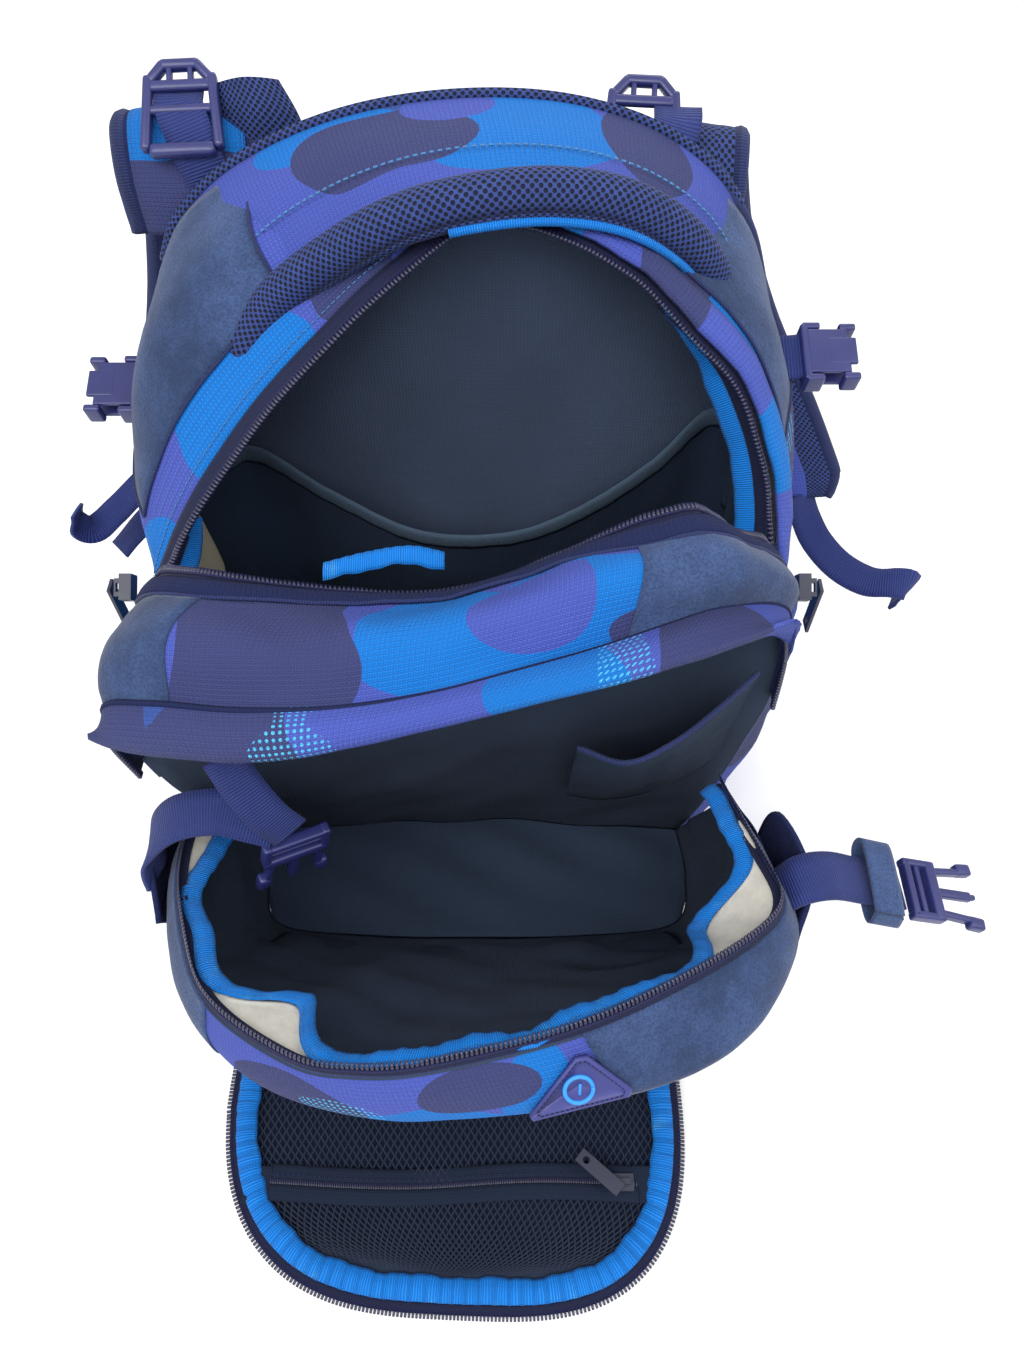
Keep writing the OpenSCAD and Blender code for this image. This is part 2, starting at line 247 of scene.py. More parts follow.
def cloth_material(name, color, pitch, worn=(0.1, 0.14, 0.19), wear=0.25, depth=0.0003):
    """Plain woven cloth with a little uneven wear."""
    m = Nodes(name, roughness=0.9, sheen=0.02, specular=0.08)
    threads = m.weave(pitch)
    shade = m.mix(m.noise(m.place(), 14, 5, 0.65), toned(color, 0.62), toned(color, 1.5))
    patches = m.step(m.noise(m.place(), 7.5, 6, 0.7), 0.5, 0.66)
    shade = m.mix(m.math("MULTIPLY", patches, wear), shade, worn)
    # painted shade: darker in the gaps between the threads, following the weave's height
    shade = m.mix(m.math("MULTIPLY", threads, 0.25), toned(color, 0.5), shade)
    soft = m.bump(m.noise(m.place(), 45, 4), 0.0016, 0.5)
    return m.done(shade, m.bump(threads, depth, 0.8, soft))


def suede_material():
    m = Nodes("suede_corner", roughness=0.95, sheen=0.16, specular=0.05)
    nap = m.noise(m.place(), 900, 3)
    brushed = m.noise(m.place(), 16, 6, 0.75)
    color = m.mix(m.step(brushed, 0.3, 0.72), toned(SUEDE, 0.68), toned(SUEDE, 1.45))
    color = m.mix(m.math("MULTIPLY", m.step(nap, 0.4, 0.65), 0.45), color, (0.018, 0.024, 0.05))
    soft = m.bump(m.noise(m.place(), 30, 4), 0.002, 0.5)
    return m.done(color, m.bump(nap, 0.0006, 0.9, soft))


def mesh_material(name, color, pitch):
    """Knitted spacer mesh: staggered round holes."""
    m = Nodes(name, roughness=0.75, sheen=0.06, specular=0.2)
    u, v = m.uv()
    row = m.wave(v, pitch)
    hole_a = m.math("MULTIPLY", m.wave(u, pitch), row)
    shifted = m.math("ADD", u, pitch / 2)
    hole_b = m.math("MULTIPLY", m.wave(shifted, pitch), m.math("SUBTRACT", 1.0, row))
    hole = m.step(m.math("MAXIMUM", hole_a, hole_b), 0.35, 0.75)
    thread = m.mix(m.noise(m.place(), 160, 2), toned(color, 0.8), toned(color, 1.6))
    # painted shade: the holes are painted near black, for the inside of the mesh lying in shade
    shade = m.mix(hole, thread, toned(color, 0.12))
    return m.done(shade, m.bump(m.math("SUBTRACT", 1.0, hole), 0.0012, 1.0))


def ribbed_material(name, color, pitch, light=1.35, wear=None, depth=0.0004):
    """Ribbed narrow fabric: ribs run across the tape."""
    m = Nodes(name, roughness=0.7, sheen=0.05, specular=0.2)
    u, v = m.uv()
    rib = m.wave(u, pitch)
    thread = m.wave(v, pitch * 0.9)
    tone = m.mix(m.noise(m.place(), 30, 5), toned(color, 0.75), toned(color, light))
    if wear:
        # pale patches at random: worn cloth, and on the azure binding partly painted highlight
        tone = m.mix(m.step(m.noise(m.place(), 55, 6, 0.7), 0.55, 0.75), tone, wear)
    # painted shade: darker in the gaps between the ribs, following the ribs' height
    tone = m.mix(m.math("MULTIPLY", rib, 0.6), toned(color, 0.45), tone)
    height = m.math("MULTIPLY_ADD", thread, 0.25, rib)
    return m.done(tone, m.bump(height, depth, 0.9))


def plastic_material(name, color, roughness, grain=260):
    m = Nodes(name, roughness=roughness, coat=0.08, specular=0.5)
    scuff = m.noise(m.place(), grain, 4)
    smear = m.noise(m.place(), 40, 5, 0.7)
    tone = m.mix(smear, toned(color, 0.75), toned(color, 1.5))
    rough = m.math("MULTIPLY_ADD", smear, 0.3, roughness - 0.12)
    return m.done(tone, m.bump(scuff, 0.0001, 0.6), rough)


def coated_material():
    """Cream waterproof coating on the back of the face fabric."""
    m = Nodes("cream_coating", roughness=0.65, specular=0.3)
    crease = m.noise(m.place(), 60, 6, 0.7)
    # painted shade: the same noise as the bump, so the hollows of the creases are darker and their ridges
    # lighter
    tone = m.mix(crease, srgb(150, 148, 140), srgb(222, 218, 206))
    return m.done(tone, m.bump(crease, 0.0012, 0.6))


CAMO = camo_material()
SUEDE_CLOTH = suede_material()
LINING_CLOTH = cloth_material("slate_lining", LINING, 0.0007, wear=0.4)
BACK_CLOTH = cloth_material("worn_back_lining", BACK_LINING, 0.0009, worn=(0.24, 0.27, 0.3), wear=0.5)
FLAP_CLOTH = cloth_material("flap_lining", FLAP_LINING, 0.0007, wear=0.15)
POCKET_CLOTH = cloth_material("pocket_lining", srgb(50, 66, 90), 0.0007, wear=0.25)
NAVY_CLOTH = cloth_material("navy_cloth", srgb(42, 50, 94), 0.0011, wear=0.1, depth=0.0005)
AIR_MESH = mesh_material("air_mesh", srgb(38, 54, 106), 0.0036)
BACK_MESH = mesh_material("back_mesh", srgb(38, 50, 98), 0.0046)
# the azure binding's pale patches are partly painted highlight and partly worn cloth
BINDING = ribbed_material("azure_binding", srgb(18, 132, 232), 0.0011, light=1.5, wear=srgb(92, 188, 248))
NAVY_BINDING = ribbed_material("navy_binding", srgb(45, 56, 106), 0.0012)
ZIP_TAPE = ribbed_material("zip_tape", srgb(30, 36, 70), 0.0008, depth=0.0002)
WEBBING = ribbed_material("webbing", srgb(48, 61, 126), 0.0015, wear=srgb(64, 78, 140))
COIL = plastic_material("coil_nylon", srgb(34, 35, 62), 0.3)
BUCKLE = plastic_material("buckle_plastic", srgb(34, 38, 88), 0.36)
SLIDER = plastic_material("slider_lacquer", srgb(32, 35, 54), 0.5, 500)
NET = ribbed_material("net_thread", srgb(46, 58, 84), 0.0006, depth=0.0001)
THREAD = ribbed_material("navy_thread", srgb(46, 50, 100), 0.0006)
PALE_THREAD = ribbed_material("pale_thread", srgb(96, 160, 226), 0.0006)
CREAM = coated_material()
LABEL = cloth_material("blank_label", srgb(205, 198, 176), 0.0005, wear=0.1)
PATCH = plastic_material("patch_rubber", srgb(42, 46, 106), 0.6)
PATCH_RING = plastic_material("patch_ring", srgb(34, 124, 206), 0.55)
ZIP_STRIP = cloth_material("zip_strip", srgb(40, 50, 72), 0.0009, wear=0.1)
HEM = cloth_material("pocket_hem", srgb(88, 108, 130), 0.0007, wear=0.2)
FRAME_PLASTIC = plastic_material("frame_plastic", srgb(190, 192, 198), 0.5)

# ---------------------------------------------------------------- shapes from curves


def spline(points, count):
    """A smooth curve through the points, as count points evenly spaced along it."""
    p = np.array(points, float)
    ends = np.vstack([2 * p[0] - p[1], p, 2 * p[-1] - p[-2]])
    fine = []
    for i in range(1, len(ends) - 2):
        a, b, c, d = ends[i - 1:i + 3]
        t = np.linspace(0, 1, 20, endpoint=False)[:, None]
        fine.append(0.5 * (2 * b + (c - a) * t + (2 * a - 5 * b + 4 * c - d) * t**2
                           + (3 * b - a - 3 * c + d) * t**3))
    fine = np.vstack(fine + [p[-1:]])
    run = np.concatenate([[0], np.cumsum(np.linalg.norm(np.diff(fine, axis=0), axis=1))])
    at = np.linspace(0, run[-1], count)
    return np.stack([np.interp(at, run, fine[:, k]) for k in range(3)], 1)


def across(rows, count):
    """Grid of points: smooth curves across the given rows of points."""
    rows = np.array(rows)
    if len(rows) == 2:
        t = np.linspace(0, 1, count)[:, None, None]
        return rows[0] * (1 - t) + rows[1] * t
    ends = np.concatenate([[2 * rows[0] - rows[1]], rows, [2 * rows[-1] - rows[-2]]])
    grid = []
    for k in np.linspace(0, len(rows) - 1, count):
        i = min(int(k), len(rows) - 2)
        t = k - i
        a, b, c, d = ends[i:i + 4]
        grid.append(0.5 * (2 * b + (c - a) * t + (2 * a - 5 * b + 4 * c - d) * t**2
                           + (3 * b - a - 3 * c + d) * t**3))
    return np.array(grid)


def loft(curves, nu, nv):
    return across([spline(c, nu) for c in curves], nv)


def normals(grid):
    du = np.gradient(grid, axis=1)
    dv = np.gradient(grid, axis=0)
    n = np.cross(du, dv)
    return n / np.maximum(np.linalg.norm(n, axis=2, keepdims=True), 1e-9)


WAVES = [(np.array([random.gauss(0, 1) for _ in range(3)]), random.uniform(0, 6.28)) for _ in range(28)]


def ripple(p, size, seed):
    """Smooth repeatable noise, about -1 to 1; size is close to its wavelength in centimetres."""
    total = np.zeros(p.shape[:-1])
    for k in range(8):
        direction, phase = WAVES[(seed + k) % len(WAVES)]
        total += np.sin(p @ direction * (2.2 / size) + phase * (k + 1 + seed))
    return total / 8 * 1.6


def rumpled(grid, amount, size, seed):
    """Pushes a grid in and out along its normals, less near its first and last rows."""
    push = ripple(grid, size, seed) * amount + ripple(grid, size * 0.42, seed + 5) * amount * 0.35
    rows = np.minimum(np.linspace(0, 1, grid.shape[0]), np.linspace(1, 0, grid.shape[0]))
    push = push * np.clip(rows * 6, 0, 1)[:, None]
    return grid + normals(grid) * push[..., None]


def mesh_of(name, vertices, faces, uvs, material):
    """A mesh object from points in centimetres; uvs are per vertex, in metres."""
    mesh = bpy.data.meshes.new(name)
    mesh.from_pydata([tuple(v) for v in np.asarray(vertices) * CM], [],
                     [tuple(int(i) for i in f) for f in faces])
    mesh.update()
    layer = mesh.uv_layers.new(name="cloth")
    index = np.zeros(len(mesh.loops), np.int32)
    mesh.loops.foreach_get("vertex_index", index)
    layer.data.foreach_set("uv", np.asarray(uvs, np.float32)[index].ravel())
    mesh.shade_smooth()
    obj = bpy.data.objects.new(name, mesh)
    bpy.context.scene.collection.objects.link(obj)
    mesh.materials.append(material)
    return obj


def sheet_uv(grid):
    """Arc lengths in metres along the middle row and the middle column."""
    nv, nu = grid.shape[:2]
    row = grid[nv // 2]
    column = grid[:, nu // 2]
    u = np.concatenate([[0], np.cumsum(np.linalg.norm(np.diff(row, axis=0), axis=1))]) * CM
    v = np.concatenate([[0], np.cumsum(np.linalg.norm(np.diff(column, axis=0), axis=1))]) * CM
    return np.stack(np.meshgrid(u, v), -1)


def cloth(name, grid, material, thick=0.12, inner=None, flat=None):
    """A closed sheet: the grid, a copy pushed back by thick, and the rim between them.

    flat gives the two axes for a planar layout; without it the layout follows the rows and columns.
    """
    nv, nu = grid.shape[:2]
    back = grid - normals(grid) * thick
    points = np.concatenate([grid.reshape(-1, 3), back.reshape(-1, 3)])
    uv = (sheet_uv(grid) if flat is None else grid[:, :, list(flat)] * CM).reshape(-1, 2)
    index = np.arange(nv * nu).reshape(nv, nu)
    a, b, c, d = index[:-1, :-1], index[:-1, 1:], index[1:, 1:], index[1:, :-1]
    front = np.stack([a, b, c, d], -1).reshape(-1, 4)
    behind = front[:, ::-1] + nv * nu
    ring = np.concatenate([index[0, :], index[1:, -1], index[-1, -2::-1], index[-2:0:-1, 0]])
    after = np.roll(ring, -1)
    edge = np.stack([ring, ring + nv * nu, after + nv * nu, after], -1)
    faces = np.concatenate([front, behind, edge])
    obj = mesh_of(name, points, faces, np.concatenate([uv, uv]), material)
    if inner is not None:
        obj.data.materials.append(inner)
        slots = np.zeros(len(faces), np.int32)
        slots[len(front):len(front) + len(behind)] = 1
        obj.data.polygons.foreach_set("material_index", slots)
    return obj


def ink(obj, **fields):
    """Stores camouflage fields on the mesh; each is a list of blobs."""
    co = np.zeros(len(obj.data.vertices) * 3)
    obj.data.vertices.foreach_get("co", co)
    co = co.reshape(-1, 3) / CM
    for name in ("ink_slate", "ink_azure", "ink_dark", "ink_violet", "ink_dots"):
        value = np.full(len(co), -1.0)
        for spot in fields.get(name[4:], []):
            centre, radius = np.array(spot[:3]), np.array(spot[3:])
            value = np.maximum(value, 1 - np.linalg.norm((co - centre) / radius, axis=1))
        layer = obj.data.attributes.new(name, "FLOAT", "POINT")
        layer.data.foreach_set("value", np.maximum(value, -1).astype(np.float32))
    return obj


def edge_frames(line, inward):
    """Sideways direction (away from inward) and normal at each point of a line."""
    t = np.gradient(line, axis=0)
    t /= np.linalg.norm(t, axis=1, keepdims=True)
    s = line - inward
    s -= t * np.sum(s * t, axis=1, keepdims=True)
    s /= np.maximum(np.linalg.norm(s, axis=1, keepdims=True), 1e-9)
    n = np.cross(t, s)
    return s, n


def strip(name, line, side, normal, w0, w1, material, thick=0.12, lift=0.0, crown=0.0, pucker=0.0,
          columns=5, wander=0.0):
    """A tape along a line, from w0 to w1 out along side, lifted off along normal."""
    rows = []
    step = np.arange(len(line))
    for k, w in enumerate(np.linspace(w0, w1, columns)):
        bulge = crown * math.sin(math.pi * k / (columns - 1))
        wave = pucker * np.sin(step * 1.9 + 0.8 * np.sin(step * 0.37)) * (0.4 + 0.6 * k / (columns - 1))
        drift = wander * (1 - k / (columns - 1)) * (np.sin(step * 0.33) + np.sin(step * 0.81 + 2) * 0.6)
        rows.append(line + side * (w + drift)[:, None] + normal * (lift + bulge + wave)[:, None])
    return cloth(name, np.array(rows), material, thick)


def cord_along(name, line, radius, material, sides=8):
    """A round piping or thread along a line, closed at both ends."""
    line = np.asarray(line)
    s, n = edge_frames(line, line - np.array([0.013, 0.021, 1.0]))
    turn = np.linspace(0, 2 * math.pi, sides, endpoint=False)
    rings = np.array([line + (s * math.cos(a) + n * math.sin(a)) * radius for a in turn]).transpose(1, 0, 2)
    count = len(line)
    index = np.arange(count * sides).reshape(count, sides)
    nxt = np.roll(index, -1, axis=1)
    quads = np.stack([index[:-1], nxt[:-1], nxt[1:], index[1:]], -1).reshape(-1, 4)
    faces = [tuple(q) for q in quads] + [tuple(index[0][::-1]), tuple(index[-1])]
    length = np.concatenate([[0], np.cumsum(np.linalg.norm(np.diff(line, axis=0), axis=1))]) * CM
    uv = np.stack([np.repeat(length, sides), np.tile(turn * radius * CM, count)], -1)
    return mesh_of(name, rings.reshape(-1, 3), faces, uv, material)


def beads(name, line, side, normal, pitch, size, offset, material, lift=0.0):
    """A row of small rounded bars along a line; size is (along, across, high)."""
    run = np.concatenate([[0], np.cumsum(np.linalg.norm(np.diff(line, axis=0), axis=1))])
    at = np.arange(pitch / 2, run[-1], pitch)

    def pick(values):
        return np.stack([np.interp(at, run, values[:, k]) for k in range(3)], 1)

    s = pick(side)
    n = pick(normal)
    t = pick(np.gradient(line, axis=0))
    t /= np.linalg.norm(t, axis=1, keepdims=True)
    centre = pick(line) + s * offset + n * lift
    a, b, c = (v / 2 for v in size)
    shape = [(a * i, b * f * j, c * g) for f, g in ((1, 0.35), (0.82, 1), (0.82, -1), (1, -0.35))
             for i, j in ((1, 1), (-1, 1), (-1, -1), (1, -1))]
    points = []
    for i, j, k in shape:
        points.append(centre + t * i + s * j + n * k)
    points = np.array(points).transpose(1, 0, 2)
    loops = [[0, 1, 5, 4], [1, 2, 6, 5], [2, 3, 7, 6], [3, 0, 4, 7], [4, 5, 6, 7],
             [0, 12, 13, 1], [1, 13, 14, 2], [2, 14, 15, 3], [3, 15, 12, 0],
             [12, 8, 9, 13], [13, 9, 10, 14], [14, 10, 11, 15], [15, 11, 8, 12], [8, 11, 10, 9]]
    faces = (np.array(loops)[None] + 16 * np.arange(len(at))[:, None, None]).reshape(-1, 4)
    flat = points.reshape(-1, 3)
    return mesh_of(name, flat, faces, flat[:, :2] * CM, material)


def zip_half(name, line, side, normal, body, tape_w, pitch=0.2, blend=None, start=0.0, coil_lift=0.05):
    """Tape, coil teeth and seam of one zip half, in place of the CAD node called name.

    The tape runs out along side, and the teeth sit at its free edge.
    """
    tape = strip(name + "_tape", line, side, normal, start, start + tape_w, ZIP_TAPE, thick=0.08, columns=4)
    teeth = beads(name + "_teeth", line, side, normal, pitch, (0.125, 0.34, 0.2), start + tape_w + 0.06,
                  COIL, lift=coil_lift)
    seam = line + side * (start + tape_w - 0.13) + normal * 0.06
    cord = cord_along(name + "_cord", seam, 0.06, THREAD, 6)
    attach(tape, body, blend, nodes=[name])
    attach(teeth, body, blend)
    attach(cord, body, blend)


def attach(piece, body, blend=None, nodes=()):
    """Rides on one body, or, when blend is given, is baked in place and rides on none; replaces the given
    CAD nodes.
    """
    if blend is None:
        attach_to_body(piece, body)
    else:
        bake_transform(piece)
    if nodes:
        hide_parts(*nodes)


ROOT = "main_shell"
MIDDLE = "middle_section"
FRONT = "front_section"
FLAP = "pocket_flap"
ROOT_TO_MIDDLE = (MIDDLE, -5.3, -8.6)
MIDDLE_TO_FRONT = (FRONT, -10.2, -15.0)


# ---------------------------------------------------------------- main compartment

REAR_RIM = [
    (-15.4, -4.4, 0.7), (-15.9, -4.6, 9), (-15.9, -4.9, 18), (-15.4, -5.1, 25.4), (-14.6, -3.6, 27.5),
    (-13.2, -2.3, 29.6), (-11.6, -1.0, 31.4), (-9.4, 0.4, 33.6), (-6.6, 1.8, 35.9), (-3.3, 3.5, 38.2),
    (0.3, 4.6, 40.0), (4.2, 4.5, 39.7), (7.8, 3.6, 38.2), (10.8, 2.1, 36.1), (12.8, 0.9, 34.4),
    (14.2, -0.7, 31.9), (14.9, -2.2, 29.6), (15.1, -4.4, 26.4), (15.8, -4.8, 18), (15.9, -4.6, 9),
    (15.4, -4.4, 0.7),
]
REAR_BULGE = [
    (-15.9, 2.5, 0.6), (-17.2, 2.6, 9), (-17.5, 2.6, 18), (-17.5, 2.4, 25.4), (-17.3, 2.8, 28.6),
    (-16.6, 3.2, 31.2), (-15.2, 3.8, 33.8), (-12.9, 4.7, 36.2), (-9.8, 5.8, 38.2), (-5.4, 6.9, 39.8),
    (0.3, 7.4, 40.8), (5.0, 7.2, 40.4), (9.0, 6.6, 39.0), (12.2, 5.6, 36.8), (14.4, 4.6, 34.6),
    (15.7, 3.4, 31.8), (16.6, 2.9, 29.2), (17.1, 2.6, 26), (17.5, 2.6, 18), (17.2, 2.6, 9),
    (15.9, 2.5, 0.6),
]
BACK_EDGE = [
    (-15.4, 10, 0.7), (-16.4, 10, 9), (-16.7, 10, 18), (-16.6, 10, 26), (-16.3, 10, 30),
    (-15.6, 10, 33.4), (-14.2, 10, 36.4), (-11.9, 10, 38.4), (-8.6, 10, 40.0), (-4.4, 10, 41.2),
    (0.3, 10, 41.7), (4.6, 10, 41.5), (8.6, 10, 40.4), (11.8, 10, 38.6), (13.9, 10, 36.4), (15.2, 10, 33.4),
    (16.2, 10, 30), (16.6, 10, 26), (16.7, 10, 18), (16.4, 10, 9), (15.4, 10, 0.7),
]
SHELL_U = 150  # points along an arch outline
SHELL_V = 26  # rows from the opening's rim to the back panel


def blob(x, y, z, *r):
    """A camouflage blob: its centre in centimetres, and one radius or one for each axis."""
    return (x, y, z, *(r if len(r) == 3 else r * 3))


def wall_across(edge, rows=40):
    """One sheet from the left half of a closed arch outline to its right half, both from base to crown."""
    half = len(edge) // 2
    left, right = edge[:half], edge[half:][::-1]
    return across([left, right], rows)


def patch_of(grid, u0, u1, v0, v1, lift):
    """The part of a grid between two columns and two rows, lifted off its surface."""
    nv, nu = grid.shape[:2]
    rows = slice(int(v0 * (nv - 1)), int(v1 * (nv - 1)) + 1)
    columns = slice(int(u0 * (nu - 1)), int(u1 * (nu - 1)) + 1)
    return (grid + normals(grid) * lift)[rows, columns]


def main_compartment():
    """Outer skin, lining and suede corners of the main compartment; returns the skin's grid."""
    smooth = loft([REAR_RIM, REAR_BULGE, BACK_EDGE], SHELL_U, SHELL_V)
    outer = rumpled(smooth, 0.2, 4.6, 1)
    skin = cloth("main_skin", outer, CAMO, 0.2, LINING_CLOTH)
    ink(skin,
        azure=[blob(-10.5, 2, 33.5, 3.6, 5, 4.2), blob(-16.8, 0, 8, 3, 4, 3.5), blob(3, 7, 41, 4, 9, 3),
               blob(15, 0, 24, 4, 3, 4), blob(13, 3, 35.5, 2.6, 4, 2.4), blob(-16, -4, 24, 3, 3, 5)],
        dark=[blob(-17, 5, 22, 3, 4, 4.5), blob(-16, 1, 14, 3, 4, 4), blob(9, 4, 38, 3, 3, 2.6),
              blob(17, 4, 28, 3, 5, 5), blob(-5, 3.5, 38.5, 2.6, 2.2, 2.4), blob(17, 5, 10, 3, 4, 5)],
        slate=[blob(-17, 6, 30, 3, 5, 5), blob(17, 6, 18, 3, 5, 5)],
        dots=[blob(-17.6, 1, 26, 3, 2.2, 1.8), blob(16.6, 1.5, 31, 3, 1.5, 2)])
    attach(skin, ROOT, nodes=["main_side_left", "main_side_right", "main_roof"])

    lining = smooth - normals(smooth) * 0.42
    inside = cloth("main_lining", rumpled(lining, 0.12, 4, 3)[:, ::-1], LINING_CLOTH, 0.05)
    attach(inside, ROOT)
    lifted = outer + normals(outer) * 0.1
    for name, u0, u1, v0, v1 in (("suede_corner_left", 0.275, 0.405, 0.2, 0.97),
                                 ("suede_corner_right", 0.605, 0.70, 0.24, 0.97)):
        left, right = int(u0 * (SHELL_U - 1)), int(u1 * (SHELL_U - 1))
        low, high = int(v0 * (SHELL_V - 1)), int(v1 * (SHELL_V - 1)) + 1
        corner = cloth(name, patch_of(outer, u0, u1, v0, v1, 0.09), SUEDE_CLOTH, 0.1)
        attach(corner, ROOT)
        for side, line, radius in (("a", lifted[low:high, left], 0.09),
                                   ("b", lifted[low:high, right], 0.09),
                                   ("c", lifted[low, left:right + 1], 0.08)):
            seam = cord_along(f"{name}_seam_{side}", spline(line, 60), radius, NAVY_BINDING, 6)
            attach(seam, ROOT)
    return outer


def back_panel():
    """Both faces of the padded back, each spanned between the two halves of the arch."""
    edge = spline(BACK_EDGE, SHELL_U)
    for name, y0, hump, material, side, seed, nodes in (
            ("back_lining", 8.25, -0.3, BACK_CLOTH, 1, 2, []),
            ("back_skin", 10.15, 0.1, NAVY_CLOTH, -1, 6, ["back_panel"])):
        outline = edge * (np.array([0.965, 1, 0.978]) if side > 0 else 1.0)
        grid = wall_across(outline)
        inside = np.sin(np.linspace(0, math.pi, grid.shape[0]))[:, None] ** 0.6
        crown = np.clip((41.6 - grid[:, :, 2]) / 4, 0, 1)
        grid[:, :, 1] = y0 + (hump + ripple(grid, 4.4, seed) * (0.3 if side > 0 else 0.08)) * inside * crown
        piece = cloth(name, grid if side > 0 else grid[:, ::-1], material, 0.3, flat=(0, 2))
        attach(piece, ROOT, nodes=nodes)
    seam = cord_along("back_piping", edge + np.array([0, 0.15, 0]), 0.28, NAVY_BINDING)
    attach(seam, ROOT)


def main_trim(outer):
    """What is sewn round the main opening: zip half, stitching, binding and storm flap."""
    rim = outer[0]
    s, n = edge_frames(rim, outer[2])
    run = slice(int(0.245 * SHELL_U), int(0.765 * SHELL_U))
    n = n * np.sign(np.sum(n * (rim - np.array([0, 5, 20])), axis=1, keepdims=True))
    zip_half("main_zip_rear", rim[run], s[run], n[run], ROOT, tape_w=0.75, start=0.05)
    stitch = beads("main_rim_stitch", outer[1][run], s[run], n[run], 0.32, (0.22, 0.05, 0.05), 0.0,
                   PALE_THREAD, 0.06)
    attach(stitch, ROOT)
    # blue seam binding inside the left and right of the opening
    for name, a, b in (("main_binding_left", 0.175, 0.30), ("main_binding_right", 0.592, 0.815)):
        part = slice(int(a * SHELL_U), int(b * SHELL_U))
        count = len(rim[part])
        ends = np.minimum(np.linspace(-0.3, 6, count), np.linspace(6, 0.2, count))
        sunk = 0.9 * np.clip(ends, -0.3, 1)[:, None]
        tape = strip(name, rim[part] - n[part] * sunk - s[part] * 0.3, -n[part], s[part], 0.0, 1.15, BINDING,
                     0.14, 0.1, 0.14, 0.06, columns=7)
        attach(tape, ROOT)
        inner = strip(name + "_tape", rim[part] - s[part] * 0.1, -n[part], s[part], 0.15, 1.0, ZIP_TAPE,
                      0.08, 0.06)
        attach(inner, ROOT)
    # storm flap over the right-hand half of the zip
    part = slice(int(0.50 * SHELL_U), int(0.755 * SHELL_U))
    flap = strip("main_storm_flap_skin", rim[part] - s[part] * 0.9, s[part], n[part], 0.0, 1.5, CAMO, 0.25,
                 0.3, 0.15, 0.03)
    ink(flap, azure=[blob(3.5, 4.5, 40, 2.2, 3, 2.5), blob(14.4, 0, 31.5, 3, 3, 2.4)],
        dark=[blob(9.4, 3, 37.6, 2.2, 3, 2)])
    attach(flap, ROOT, nodes=["main_storm_flap"])


HANDLE_FRONT = [(-11.4, 2.2, 32.9), (-10.2, 3.0, 34.6), (-8.3, 3.9, 36.8), (-5.6, 4.0, 38.8),
                (-2.6, 3.7, 40.6), (0.6, 3.7, 41.5), (4.0, 4.1, 41.6), (7.2, 4.6, 40.8), (9.8, 5.2, 39.0),
                (11.6, 5.8, 36.6), (12.4, 5.6, 34.6)]
HANDLE_MID = [(-14.0, 6.0, 34.4), (-12.4, 6.6, 36.2), (-9.8, 6.8, 38.6), (-6.8, 6.9, 40.4),
              (-3.2, 6.9, 41.7), (0.6, 6.9, 42.3), (4.4, 7.0, 42.1), (7.8, 7.2, 41.1), (10.6, 7.6, 39.4),
              (12.6, 8.0, 37.2), (13.4, 8.0, 35.2)]
HANDLE_BACK = [(-15.4, 9.9, 34.4), (-14.2, 10.0, 36.5), (-11.6, 10.1, 38.8), (-8.0, 10.2, 40.6),
               (-4.0, 10.2, 41.8), (0.4, 10.2, 42.3), (4.6, 10.2, 42.1), (8.4, 10.2, 41.1),
               (11.2, 10.2, 39.5), (13.2, 10.2, 37.5), (14.0, 10.1, 35.4)]
HANDLE_U = 90  # points along the handle


def carry_handle():
    """Camouflage band over the top of the opening, with a soft mesh roll along its front edge."""
    grid = loft([HANDLE_FRONT, HANDLE_MID, HANDLE_BACK], HANDLE_U, 16)
    band = cloth("carry_handle_band", rumpled(grid, 0.07, 4, 4), CAMO, 0.35, AIR_MESH)
    ink(band,
        azure=[blob(2.6, 7.6, 42, 4.6, 3.4, 3), blob(-6.6, 9.2, 40.6, 4.6, 1.2, 1.6)],
        dark=[blob(-3.6, 7.2, 41.4, 4.6, 2.0, 2.0), blob(-13.6, 7.5, 35, 1.5, 4, 2.6),
              blob(-9.2, 5.0, 37.2, 1.0, 2.4, 1.8), blob(8.6, 8.6, 41, 2.6, 2.6, 2.2)],
        slate=[blob(-11.6, 5.6, 35.6, 2.0, 3, 2.6), blob(-3, 9.8, 42, 3.2, 0.8, 1)],
        violet=[blob(-0.4, 9.4, 42.2, 2.0, 1.2, 1)])
    attach(band, ROOT, nodes=["carry_handle"])
    core = spline(HANDLE_FRONT, HANDLE_U) + np.array([0, -0.15, -0.35])
    s, n = edge_frames(core, spline(HANDLE_MID, HANDLE_U))
    turn = np.linspace(0, 2 * math.pi, 17)
    taper = np.minimum(np.linspace(0, 14, HANDLE_U), np.linspace(14, 0, HANDLE_U))
    taper = np.clip(taper, 0.35, 1)[:, None]
    rows = [core + (s * math.cos(a) * 0.95 + n * math.sin(a) * 1.1) * taper for a in turn]
    roll = cloth("carry_handle_roll", np.array(rows), AIR_MESH, 0.05)
    attach(roll, ROOT)
    right_part = slice(42, 84)  # where blue piping shows under the roll
    piping = cord_along("handle_piping", (core + np.array([0, -0.75, -0.75]))[right_part], 0.24, BINDING, 8)
    attach(piping, ROOT)
    top = normals(grid)[5]
    top = top * np.sign(top[:, 2:3] + 1e-6)
    stitch = beads("handle_stitch", grid[5], s, top, 0.36, (0.22, 0.09, 0.07), 0.0, PALE_THREAD, 0.22)
    attach(stitch, ROOT)
    back = cord_along("handle_mesh_edge", spline(HANDLE_BACK, HANDLE_U) + np.array([0, 0.05, 0.0]), 0.3,
                      AIR_MESH)
    attach(back, ROOT)


